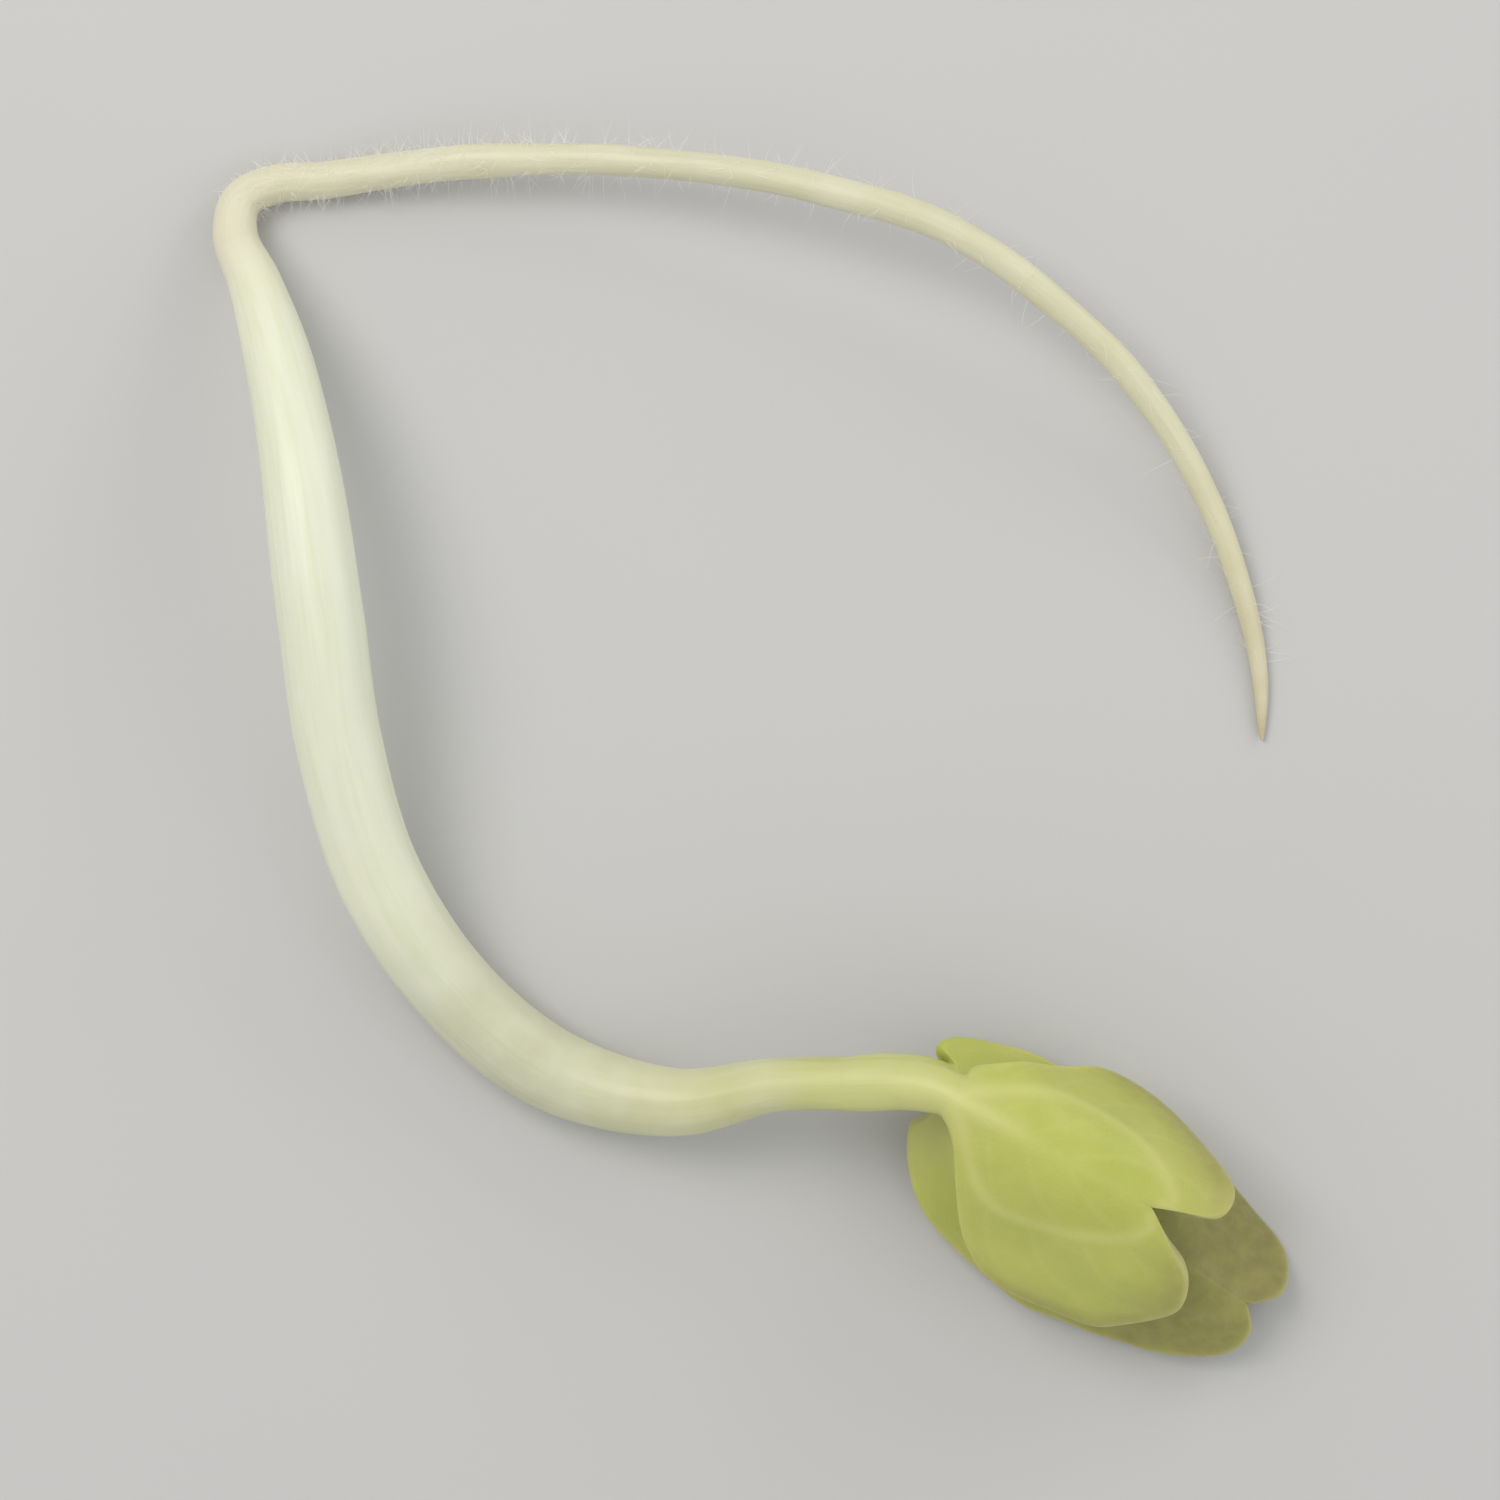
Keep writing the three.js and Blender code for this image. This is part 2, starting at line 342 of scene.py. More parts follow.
class NodeSheet:
    """Places and joins the nodes of one tree."""

    def __init__(self, tree: Tree) -> None:
        """Starts on a tree that may already hold nodes."""
        self.tree = tree

    def feed(self, target: Socket, source: Source) -> None:
        """Joins a socket to another one, or sets it to a number or a colour.

        Args:
            target: The socket that is fed.
            source: What it takes.
        """
        if isinstance(source, bpy.types.NodeSocket):
            self.tree.links.new(source, target)
        else:
            is_colour = isinstance(source, tuple) and target.type == "RGBA"
            target.default_value = (*source, 1.0) if is_colour else source

    def add(
        self, kind: str, feeds: Mapping[str | int, Source] | None = None, **settings: object
    ) -> Node:
        """Adds a node.

        Args:
            kind: What kind of node it is.
            feeds: What its inputs take, by name or by number.
            **settings: Its own settings, such as its operation.

        Returns:
            The new node.
        """
        node = self.tree.nodes.new(kind)
        for key, value in settings.items():
            setattr(node, key, value)
        for key, source in (feeds or {}).items():
            self.feed(node.inputs[key], source)
        return node

    def value(self, name: str) -> Socket:
        """A number that the mesh keeps at its points."""
        return self.add("ShaderNodeAttribute", attribute_name=name).outputs["Fac"]

    def vector(self, name: str) -> Socket:
        """A vector that the mesh keeps at its points."""
        return self.add("ShaderNodeAttribute", attribute_name=name).outputs["Vector"]

    def math(self, operation: str, first: Source, second: Source) -> Socket:
        """The result of a sum, product or other operation on two numbers."""
        return self.add("ShaderNodeMath", {0: first, 1: second}, operation=operation).outputs[0]

    def times(self, first: Source, second: Source) -> Socket:
        """The product of two numbers."""
        return self.math("MULTIPLY", first, second)

    def plus(self, first: Source, second: Source) -> Socket:
        """The sum of two numbers."""
        return self.math("ADD", first, second)

    def spread(self, value: Socket, given: Range, wanted: Range) -> Socket:
        """A number, moved from its given range to the wanted one and kept inside it."""
        feeds = dict(enumerate((value, *given, *wanted)))
        return self.add("ShaderNodeMapRange", feeds, clamp=True).outputs[0]

    def blend(self, share: Source, under: Source, over: Source) -> Socket:
        """One colour laid over another by a share."""
        feeds = {0: share, 6: under, 7: over}
        return self.add("ShaderNodeMix", feeds, data_type="RGBA").outputs[2]

    def mask(self, tree: Tree, **feeds: Source) -> Socket:
        """What a node group puts out for its inputs."""
        return self.add("ShaderNodeGroup", feeds, node_tree=tree).outputs[0]

    def ramp(self, share: Socket, stops: Iterable[tuple[float, Colour]]) -> Socket:
        """Lays colours along a number from 0 to 1.

        Args:
            share: The number.
            stops: The place and the colour of each stop, from 0 to 1.

        Returns:
            The colour.
        """
        node = self.add("ShaderNodeValToRGB", {"Fac": share})
        elements = node.color_ramp.elements
        for number, (place, colour) in enumerate(stops):
            element = elements[number] if number < 2 else elements.new(place)
            element.position = place
            element.color = (*colour, 1.0)
        return node.outputs["Color"]


class TissueGroups:
    """The effects that several of the sprout's materials share, each built once."""

    @staticmethod
    def start(
        name: str, vector: str, numbers: Iterable[str], result: str
    ) -> tuple[NodeSheet, Mapping[str, Socket], Socket]:
        """Starts a node group.

        Args:
            name: The group's name.
            vector: The name of its first input, a vector.
            numbers: The names of its other inputs, all numbers.
            result: The name of its output, a number.

        Returns:
            The group's sheet, the sockets that it is given and the one that it puts out.
        """
        tree = bpy.data.node_groups.new(name, "ShaderNodeTree")
        tree.interface.new_socket(vector, in_out="INPUT", socket_type="NodeSocketVector")
        for key in numbers:
            tree.interface.new_socket(key, in_out="INPUT", socket_type="NodeSocketFloat")
        tree.interface.new_socket(result, in_out="OUTPUT", socket_type="NodeSocketFloat")
        sheet = NodeSheet(tree)
        given, end = sheet.add("NodeGroupInput"), sheet.add("NodeGroupOutput")
        return sheet, given.outputs, end.inputs[result]

    @cached_property
    def clouds(self) -> Tree:
        """Soft patches, such as those of thicker and thinner tissue.

        Returns:
            The group's tree.
        """
        sheet, given, result = self.start("soft_clouds", "Place", ["Scale"], "Mask")
        feeds = {"Vector": given["Place"], "Scale": given["Scale"]}
        feeds |= {"Detail": 3.0, "Roughness": 0.55}
        noise = sheet.add("ShaderNodeTexNoise", feeds, normalize=True)
        sheet.feed(result, sheet.spread(noise.outputs["Fac"], (0.3, 0.7), (0.0, 1.0)))
        return sheet.tree

    @cached_property
    def strands(self) -> Tree:
        """Fine lines along a stem or root, from its cells and the vessels that show through.

        Returns:
            The group's tree.
        """
        numbers = ["Fineness", "Shortness"]
        sheet, given, result = self.start("long_strands", "Flow", numbers, "Mask")
        parts = sheet.add("ShaderNodeSeparateXYZ", {0: given["Flow"]}).outputs
        amounts = (given["Fineness"], given["Fineness"], given["Shortness"])
        feeds = {axis: sheet.times(parts[axis], amount) for axis, amount in zip("XYZ", amounts)}
        drawn = sheet.add("ShaderNodeCombineXYZ", feeds).outputs[0]
        feeds = {"Vector": drawn, "Scale": 1.0, "Detail": 2.0}
        noise = sheet.add("ShaderNodeTexNoise", feeds, normalize=True)
        sheet.feed(result, sheet.spread(noise.outputs["Fac"], (0.32, 0.68), (0.0, 1.0)))
        return sheet.tree

    @cached_property
    def cells(self) -> Tree:
        """The tiny domes of the skin's cells.

        Returns:
            The group's tree.
        """
        sheet, given, result = self.start("skin_cells", "Place", ["Scale"], "Height")
        feeds = {"Vector": given["Place"], "Scale": given["Scale"], "Smoothness": 0.4}
        cells = sheet.add("ShaderNodeTexVoronoi", feeds, feature="SMOOTH_F1")
        sheet.feed(result, sheet.math("SUBTRACT", 1.0, cells.outputs["Distance"]))
        return sheet.tree


# Finishes


@dataclass(frozen=True)
class Glow:
    """How light goes through a tissue and how its skin shines.

    Attributes:
        weight: How much of the light goes in.
        depth: How deep it goes, in millimetres.
        colour: Which colours go deepest.
        film: The weight and the roughness of the moist film on top.
    """

    weight: float
    depth: float
    colour: Colour
    film: Range = (0.0, 0.2)

    def apply(self, sheet: NodeSheet, shader: Node, joined: bool) -> None:
        """Sets the shader's own sockets.

        Args:
            sheet: The material's nodes.
            shader: Its shader.
            joined: Whether the piece grows together with others, where the glow fades out so
                that no dark ring shows.
        """
        shader.inputs["Subsurface Weight"].default_value = self.weight
        shader.inputs["Subsurface Scale"].default_value = self.depth * MM
        shader.inputs["Subsurface Radius"].default_value = self.colour
        shader.inputs["Coat Weight"].default_value = self.film[0]
        shader.inputs["Coat Roughness"].default_value = self.film[1]
        if joined:
            weight = sheet.times(sheet.value("off_join"), self.weight)
            sheet.feed(shader.inputs["Subsurface Weight"], weight)


@dataclass(frozen=True, kw_only=True)
class Finish:
    """What all the finishes have in common.

    Attributes:
        name: The material's name.
        glow: How light goes through.
        roughness: The least and the most roughness.
        relief: How deep the finest relief is, in millimetres, or 0 for none.
        joined: Whether its pieces grow together with others.
    """

    name: str
    glow: Glow
    roughness: Range = (0.4, 0.52)
    relief: float = 0.005
    joined: bool = True

    def build(self, groups: TissueGroups) -> Material:
        """Makes the material.

        Args:
            groups: The effects that the materials share.

        Returns:
            The new material.
        """
        material = bpy.data.materials.new(self.name)
        material.use_nodes = True
        sheet = NodeSheet(material.node_tree)
        shader = material.node_tree.nodes["Principled BSDF"]
        colour, patches, height = self.paint(sheet, groups)
        rough = sheet.spread(patches, (0.0, 1.0), self.roughness)
        sheet.feed(shader.inputs["Base Color"], colour)
        sheet.feed(shader.inputs["Roughness"], rough)
        if self.relief:
            feeds = {"Strength": 1.0, "Distance": self.relief * MM, "Height": height}
            bump = sheet.add("ShaderNodeBump", feeds)
            sheet.feed(shader.inputs["Normal"], bump.outputs["Normal"])
        self.glow.apply(sheet, shader, self.joined)
        return material

    def paint(self, sheet: NodeSheet, groups: TissueGroups) -> tuple[Socket, Socket, Source]:
        """The colour, the patches of roughness and the height of the relief."""
        raise NotImplementedError


@dataclass(frozen=True, kw_only=True)
class StrandFinish(Finish):
    """The pale, waxy tissue of the stem and the root, with strands along it.

    Attributes:
        stops: The colours along the piece, from its upper end to its lower one.
        strand: What shows through along the strands.
        cloud: The soft patches.
        fineness: Strands to a millimetre across.
        shortness: Breaks in a strand to a millimetre along.
        broader: How much coarser the broad strands are across and along, as shares.
        show: How strongly strands and patches show.
        cloud_scale: Soft patches to a millimetre.
    """

    stops: tuple[tuple[float, Colour], ...]
    strand: Colour
    cloud: Colour
    fineness: float
    shortness: float
    broader: Range = (0.3, 0.4)
    show: float = 0.4
    cloud_scale: float = 0.55

    def paint(self, sheet: NodeSheet, groups: TissueGroups) -> tuple[Socket, Socket, Source]:
        """Reads a point's flow and its share along the piece.

        Args:
            sheet: The material's nodes.
            groups: The effects that the materials share.

        Returns:
            The colour, the patches of roughness and the height of the relief.
        """
        flow = sheet.vector("flow")
        strands, broad = (
            sheet.mask(
                groups.strands,
                Flow=flow,
                Fineness=self.fineness * across,
                Shortness=self.shortness * on,
            )
            for across, on in ((1.0, 1.0), self.broader)
        )
        clouds = sheet.mask(groups.clouds, Place=flow, Scale=self.cloud_scale)
        share = sheet.times(sheet.value("off_join"), self.show)
        colour = sheet.ramp(sheet.value("along"), self.stops)
        colour = sheet.blend(sheet.times(clouds, share), colour, self.cloud)
        shown = sheet.times(strands, sheet.times(broad, share))
        colour = sheet.blend(shown, colour, self.strand)
        return colour, clouds, sheet.plus(strands, sheet.times(broad, 2.0))


@dataclass(frozen=True, kw_only=True)
class LeafFinish(Finish):
    """The fleshy, satin tissue of a seed leaf.

    Attributes:
        light: The thin places.
        deep: The thick places.
        inner_face: What lies over the leaf's inner face, which is a little greener.
        vein: What shows along the veins.
        lip: The thin margin, paler than the blade and partly a painted highlight.
        brown_and_shade: The brownish tinge at the tip and the margin, partly painted shade.
        stalk: The stalk and the leaf's foot.
        patch_scales: Large, middling and fine patches to a millimetre.
        cell_scale: Cells to a millimetre.
        least_brown_and_shade: How evenly the brownish tinge and painted shade lie, from 0 to 1.
    """

    light: Colour
    deep: Colour
    inner_face: Colour
    vein: Colour
    lip: Colour
    brown_and_shade: Colour
    stalk: Colour
    patch_scales: tuple[float, float, float] = (0.42, 2.6, 11.0)
    cell_scale: float = 17.0
    least_brown_and_shade: float = 0.74

    def paint(self, sheet: NodeSheet, groups: TissueGroups) -> tuple[Socket, Socket, Source]:
        """Reads what Cotyledon keeps at its points.

        Args:
            sheet: The material's nodes.
            groups: The effects that the materials share.

        Returns:
            The colour, the patches of roughness and the height of the relief.
        """
        flow, stalk = sheet.vector("flow"), sheet.value("stalk")
        clouds, mottle, fine = (
            sheet.mask(groups.clouds, Place=flow, Scale=scale) for scale in self.patch_scales
        )
        uneven = sheet.spread(mottle, (0.0, 1.0), (self.least_brown_and_shade, 1.0))
        colour = sheet.blend(clouds, self.light, self.deep)
        for share, over in (
            (sheet.times(mottle, 0.22), self.deep),
            (sheet.times(fine, 0.15), self.light),
            (sheet.times(sheet.value("inner_face"), 0.6), self.inner_face),
            (stalk, self.stalk),
            (sheet.times(sheet.value("vein"), 0.8), self.vein),
            # Brownish tip and margin, partly painted shade
            (sheet.times(sheet.value("brown_and_shade"), uneven), self.brown_and_shade),
            # Pale margin, partly the thin tissue's own colour and partly a painted highlight
            (sheet.times(sheet.value("lip"), 0.6), self.lip),
        ):
            colour = sheet.blend(share, colour, over)
        cells = sheet.mask(groups.cells, Place=flow, Scale=self.cell_scale)
        skin = sheet.plus(cells, sheet.times(fine, 0.8))
        skin = sheet.times(skin, sheet.math("SUBTRACT", 1.0, stalk))
        grain = sheet.vector("grain")
        strands = sheet.mask(groups.strands, Flow=grain, Fineness=7.0, Shortness=0.35)
        return colour, mottle, sheet.plus(skin, sheet.times(strands, stalk))


@dataclass(frozen=True, kw_only=True)
class PlainFinish(Finish):
    """One colour with faint clouds and no relief, for the bud, the hairs and the floor.

    Attributes:
        light: The lighter colour.
        dark: The darker colour.
        cloud_scale: Clouds to a metre.
    """

    light: Colour
    dark: Colour
    cloud_scale: float
    relief: float = 0.0
    joined: bool = False

    def paint(self, sheet: NodeSheet, groups: TissueGroups) -> tuple[Socket, Socket, Source]:
        """Needs nothing kept at the points.

        Args:
            sheet: The material's nodes.
            groups: The effects that the materials share.

        Returns:
            The colour, the patches of roughness and no height.
        """
        place = sheet.add("ShaderNodeTexCoord").outputs["Object"]
        clouds = sheet.mask(groups.clouds, Place=place, Scale=self.cloud_scale)
        return sheet.blend(clouds, self.light, self.dark), clouds, 0.0


STALK_COLOUR = (0.548, 0.555, 0.217)
COLLAR_COLOUR = (0.72, 0.68, 0.50)
MOIST_FILM = (0.08, 0.3)
LEAF_GLOW = Glow(0.4, 0.6, (1.0, 0.95, 0.3), MOIST_FILM)

STEM_FINISH = StrandFinish(
    name="stem_tissue",
    stops=(
        (0.0, STALK_COLOUR),
        (0.05, STALK_COLOUR),
        (0.16, (0.595, 0.585, 0.32)),
        (0.27, (0.54, 0.54, 0.36)),
        (0.36, (0.605, 0.61, 0.44)),
        (0.45, (0.77, 0.78, 0.595)),
        (0.65, (0.75, 0.775, 0.61)),
        (0.85, (0.76, 0.77, 0.59)),
        (1.0, COLLAR_COLOUR),
    ),
    strand=(0.60, 0.63, 0.38),
    cloud=(0.80, 0.81, 0.68),
    fineness=7.0,
    shortness=0.35,
    glow=Glow(0.5, 0.8, (1.0, 0.95, 0.6), MOIST_FILM),
)
ROOT_FINISH = StrandFinish(
    name="root_tissue",
    stops=(
        (0.0, COLLAR_COLOUR),
        (0.04, COLLAR_COLOUR),
        (0.16, (0.68, 0.65, 0.46)),
        (0.4, (0.64, 0.62, 0.425)),
        (0.85, (0.67, 0.64, 0.42)),
        (0.97, (0.58, 0.51, 0.32)),
        (1.0, (0.44, 0.35, 0.19)),
    ),
    strand=(0.58, 0.55, 0.37),
    cloud=(0.78, 0.77, 0.64),
    fineness=12.0,
    shortness=0.7,
    roughness=(0.4, 0.54),
    relief=0.004,
    glow=Glow(0.45, 0.45, (1.0, 0.93, 0.7), MOIST_FILM),
)
OUTER_LEAF_FINISH = LeafFinish(
    name="outer_leaf_tissue",
    light=(0.54, 0.555, 0.125),
    deep=(0.45, 0.48, 0.09),
    inner_face=(0.38, 0.43, 0.07),
    vein=(0.66, 0.64, 0.24),
    # Pale margin, partly a painted highlight
    lip=(0.70, 0.66, 0.26),
    # Brownish tint for the tip and the margin, partly painted shade
    brown_and_shade=(0.25, 0.205, 0.065),
    stalk=STALK_COLOUR,
    glow=LEAF_GLOW,
)
INNER_LEAF_FINISH = LeafFinish(
    name="inner_leaf_tissue",
    light=(0.52, 0.53, 0.11),
    deep=(0.41, 0.44, 0.08),
    inner_face=(0.45, 0.48, 0.09),
    vein=(0.62, 0.60, 0.20),
    # Pale margin, partly a painted highlight
    lip=(0.62, 0.59, 0.20),
    # Brownish tint for the tip and the margin, partly painted shade
    brown_and_shade=(0.225, 0.187, 0.058),
    stalk=STALK_COLOUR,
    glow=LEAF_GLOW,
)
BUD_FINISH = PlainFinish(
    name="bud_tissue",
    light=(0.58, 0.61, 0.22),
    dark=(0.44, 0.50, 0.13),
    cloud_scale=2500.0,
    roughness=(0.35, 0.5),
    glow=Glow(0.4, 0.3, (0.9, 1.0, 0.3)),
)
HAIR_FINISH = PlainFinish(
    name="hair_tissue",
    light=(0.93, 0.92, 0.87),
    dark=(0.89, 0.88, 0.82),
    cloud_scale=800.0,
    roughness=(0.4, 0.5),
    glow=Glow(0.0, 0.05, (1.0, 1.0, 0.9)),
)
FLOOR_FINISH = PlainFinish(
    name="pale_floor",
    light=(0.56, 0.555, 0.54),
    dark=(0.545, 0.54, 0.525),
    cloud_scale=30.0,
    roughness=(0.62, 0.7),
    glow=Glow(0.0, 1.0, (1.0, 1.0, 1.0)),
)


# Stem and root


@dataclass(frozen=True)
class MiddleLine:
    """The line from the leaf node, round the stem's loop, over the collar and along the root.

    Attributes:
        stem: Stations along the stem, each an x, y, z, half-width and half-height.
        root: Stations along the root.
    """

    stem: Rows = (
        (2.6, -7.53, 2.72, 0.57, 0.95),
        (0.9, -7.6, 2.3, 0.58, 0.78),
        (-1.34, -8.04, 1.5, 0.75, 0.8),
        (-4.02, -7.39, 0.84, 0.9, 0.9),
        (-6.2, -5.56, 1.1, 0.93, 0.93),
        (-7.66, -3.23, 1.85, 0.93, 0.93),
        (-8.5, -0.18, 2.8, 0.93, 0.93),
        (-8.84, 2.5, 3.3, 0.92, 0.92),
        (-9.22, 5.3, 3.15, 0.86, 0.86),
        (-9.87, 8.11, 2.3, 0.72, 0.72),
        (-10.45, 9.75, 1.4, 0.58, 0.58),
        (-10.95, 10.85, 0.8, 0.5, 0.5),
    )
    root: Rows = (
        (-10.85, 11.65, 0.5, 0.45, 0.45),
        (-10.15, 12.05, 0.39, 0.43, 0.43),
        (-8.9, 12.15, 0.4, 0.4, 0.4),
        (-6.2, 12.45, 0.85, 0.37, 0.37),
        (-1.85, 12.35, 1.6, 0.34, 0.34),
        (1.7, 11.75, 2.1, 0.34, 0.34),
        (4.75, 10.75, 2.15, 0.34, 0.34),
        (7.3, 8.98, 1.75, 0.33, 0.33),
        (9.02, 7.24, 1.2, 0.31, 0.31),
        (10.37, 5.06, 0.62, 0.28, 0.28),
        (11.2, 2.9, 0.26, 0.24, 0.24),
        (11.55, 1.2, 0.15, 0.18, 0.18),
        (11.6, -0.18, 0.12, 0.13, 0.13),
    )

    @cached_property
    def stations(self) -> Array:
        """All the stations in one table."""
        return np.array(self.stem + self.root)

    @property
    def collar(self) -> float:
        """The share of the line at which the stem ends."""
        return (len(self.stem) - 1) / (len(self.stations) - 1)

    def at(self, share: Array) -> Array:
        """Points of the line."""
        return spline(self.stations[:, :3], share, evenness=0.5)

    def sizes(self, share: Array) -> Array:
        """Half-widths and half-heights."""
        return spline(self.stations[:, 3:], share)

    def axes(self, share: Array) -> tuple[Array, Array, Array]:
        """The way on, the level way aside and the way up from the line.

        Args:
            share: Places along the line.

        Returns:
            The three ways at each place.
        """
        step = 1e-4
        heading = unit(self.at(np.minimum(share + step, 1)) - self.at(np.maximum(share - step, 0)))
        side = unit(np.cross(heading, UP))
        return heading, side, np.cross(side, heading)

    @cached_property
    def start(self) -> tuple[Array, Array, Array, Array]:
        """The stem's top and the three ways there."""
        share = np.zeros(1)
        return self.at(share)[0], *(way[0] for way in self.axes(share))

    def distances(self, share: Array) -> Array:
        """How far along the line each share lies, in millimetres."""
        steps = np.linalg.norm(np.diff(self.at(share), axis=0), axis=-1)
        return np.concatenate([[0.0], np.cumsum(steps)])

    def share_at(self, distance: Number) -> Array:
        """The share of the line that lies a distance in millimetres from its start."""
        shares = np.linspace(0.0, 1.0, 3000)
        return np.interp(distance, self.distances(shares), shares)


class Tube:
    """A stretch of the middle line, laid out in rings for the skin of the stem or the root."""

    def __init__(self, line: MiddleLine, share: Array, sides: int) -> None:
        """Measures the stretch.

        Args:
            line: The line.
            share: Where each ring stands.
            sides: How many points a ring has.
        """
        self.line, self.share = line, share
        self.distance = line.distances(share)
        self.left = self.distance[-1] - self.distance
        self.angle = around(sides)
        self.half_width, self.half_height = line.sizes(share).T[..., None]

    def lumps(self, pace: float, girth: float, wavelength: float, seed: int) -> Array:
        """A smooth unevenness of the skin.

        Args:
            pace: How fast it changes along the tube.
            girth: How fast it changes round it.
            wavelength: The usual distance between two crests.
            seed: Chooses the pattern.

        Returns:
            A number for each point.
        """
        on, turn = np.meshgrid(self.distance * pace, self.angle, indexing="ij")
        places = np.stack([on, np.cos(turn) * girth, np.sin(turn) * girth], -1)
        return ripple(places, wavelength, seed)

    def skin(
        self, aside: Array, above: Array, along: Array, off_join: Array, on: Number = 0.0
    ) -> tuple[Array, dict[str, Array]]:
        """The tube's points and what the strand finish reads there.

        Args:
            aside: How far each point lies to the side of the line, rings by places round.
            above: How far it lies above the line.
            along: The share of the tube at which each ring stands.
            off_join: 0 at a ring where the tube joins another piece, and 1 well away from it.
            on: How far each point is moved on along the line.

        Returns:
            The rings of points, and the values by name.
        """
        rings = self.line.at(self.share)[:, None]
        for way, amount in zip(self.line.axes(self.share), (on, aside, above)):
            rings = rings + way[:, None] * np.asarray(amount)[..., None]
        distance, along, off_join = (
            np.broadcast_to(value[:, None], aside.shape)
            for value in (self.distance, along, off_join)
        )
        flow = np.stack([aside, above, distance], -1)
        return off_the_floor(rings), {"flow": flow, "along": along, "off_join": off_join}


@dataclass(frozen=True)
class Hypocotyl:
    """The long stem. Its top divides into the two leaf stalks and its foot is the collar.

    Attributes:
        line: The line it follows.
        rings: How many rings it has.
        sides: How many points a ring has.
        lump_depth: How uneven its thickness is, as a share.
        ridge_count: How many faint ridges run along it.
        ridge_depth: How high they stand, as a share of its thickness.
        fork_reach: Over what length its section becomes that of the two stalks.
        groove: How deep and how wide the furrow between the stalks is, as shares.
        groove_reach: Over what length it runs out.
        web_recess: How far the web between the stalks stands back.
        web_height: Over what height it does.
        web_edge: By what share the web's edge draws in, and over what share of the section.
        web_round: Over what length the edge rounds off.
        top_dip: Over what length the top slips under the stalks, and by what share.
        foot_dip: The same at the foot, which slips under the root.
        end_round: How far each end rounds off.
    """

    line: MiddleLine = MiddleLine()
    rings: int = 560
    sides: int = 96
    lump_depth: float = 0.018
    ridge_count: int = 9
    ridge_depth: float = 0.006
    fork_reach: float = 2.6
    groove: Range = (0.3, 0.19)
    groove_reach: float = 1.9
    web_recess: float = 0.45
    web_height: float = 0.36
    web_edge: Range = (0.97, 0.24)
    web_round: float = 0.45
    top_dip: Range = (1.2, 0.02)
    foot_dip: Range = (1.0, 0.03)
    end_round: float = 0.12

    def build(self, material: Material) -> Piece:
        """Makes the stem.

        Args:
            material: What it is dressed in.

        Returns:
            The new object.
        """
        tube = Tube(self.line, np.linspace(0.0, self.line.collar, self.rings), self.sides)
        up, swell = np.cos(tube.angle), self.swelling(tube)
        forked, parted = (
            1.0 - smoothstep(0.0, reach, tube.distance)[:, None]
            for reach in (self.fork_reach, self.groove_reach)
        )
        edge = 1.0 - np.sqrt(1.0 - fading(tube.distance, self.web_round)[:, None] ** 2)
        (groove, groove_width), (draw, draw_width) = self.groove, self.web_edge
        furrow = 1.0 - groove * parted * bell(up, groove_width)
        furrow = furrow * (1.0 - draw * edge * bell(up, draw_width, power=4))
        width = lerp(tube.half_width, STALK_HALF_WIDTH, forked) * furrow
        apart = 2.0 * smoothstep(-0.35, 0.35, up) - 1.0
        stalks = STALK_OUTER_HALF * up + STALK_OFFSET * apart
        above = lerp(tube.half_height * up, stalks, forked) * swell
        on = self.web_recess * parted * bell(above, self.web_height)
        off_join = smoothstep(0.5, 2.2, tube.distance) * smoothstep(0.4, 1.8, tube.left)
        aside, along = width * np.sin(tube.angle) * swell, tube.share / self.line.collar
        return closed_skin("stem", *tube.skin(aside, above, along, off_join, on), material)

    def swelling(self, tube: Tube) -> Array:
        """How much thicker or thinner than its stations the stem is.

        Args:
            tube: The stem's rings.

        Returns:
            A factor for each point.
        """
        lumps = self.lump_depth * tube.lumps(pace=0.45, girth=1.2, wavelength=2.2, seed=11)
        drift = ripple(tube.distance[:, None] * 0.2, 2.0, seed=12)[:, None]
        ridges = self.ridge_depth * np.sin(self.ridge_count * tube.angle + 1.3 * drift)
        calm = smoothstep(0.8, 3.0, tube.distance) * smoothstep(0.6, 2.0, tube.left)
        ends = np.ones(self.rings)
        for reach, (length, depth) in ((tube.distance, self.top_dip), (tube.left, self.foot_dip)):
            ends *= 1.0 - depth * fading(reach, length) ** 2
            ends *= np.sqrt(1.0 - 0.6 * fading(reach, self.end_round) ** 2)
        return (1.0 + (lumps + ridges) * calm[:, None]) * ends[:, None]


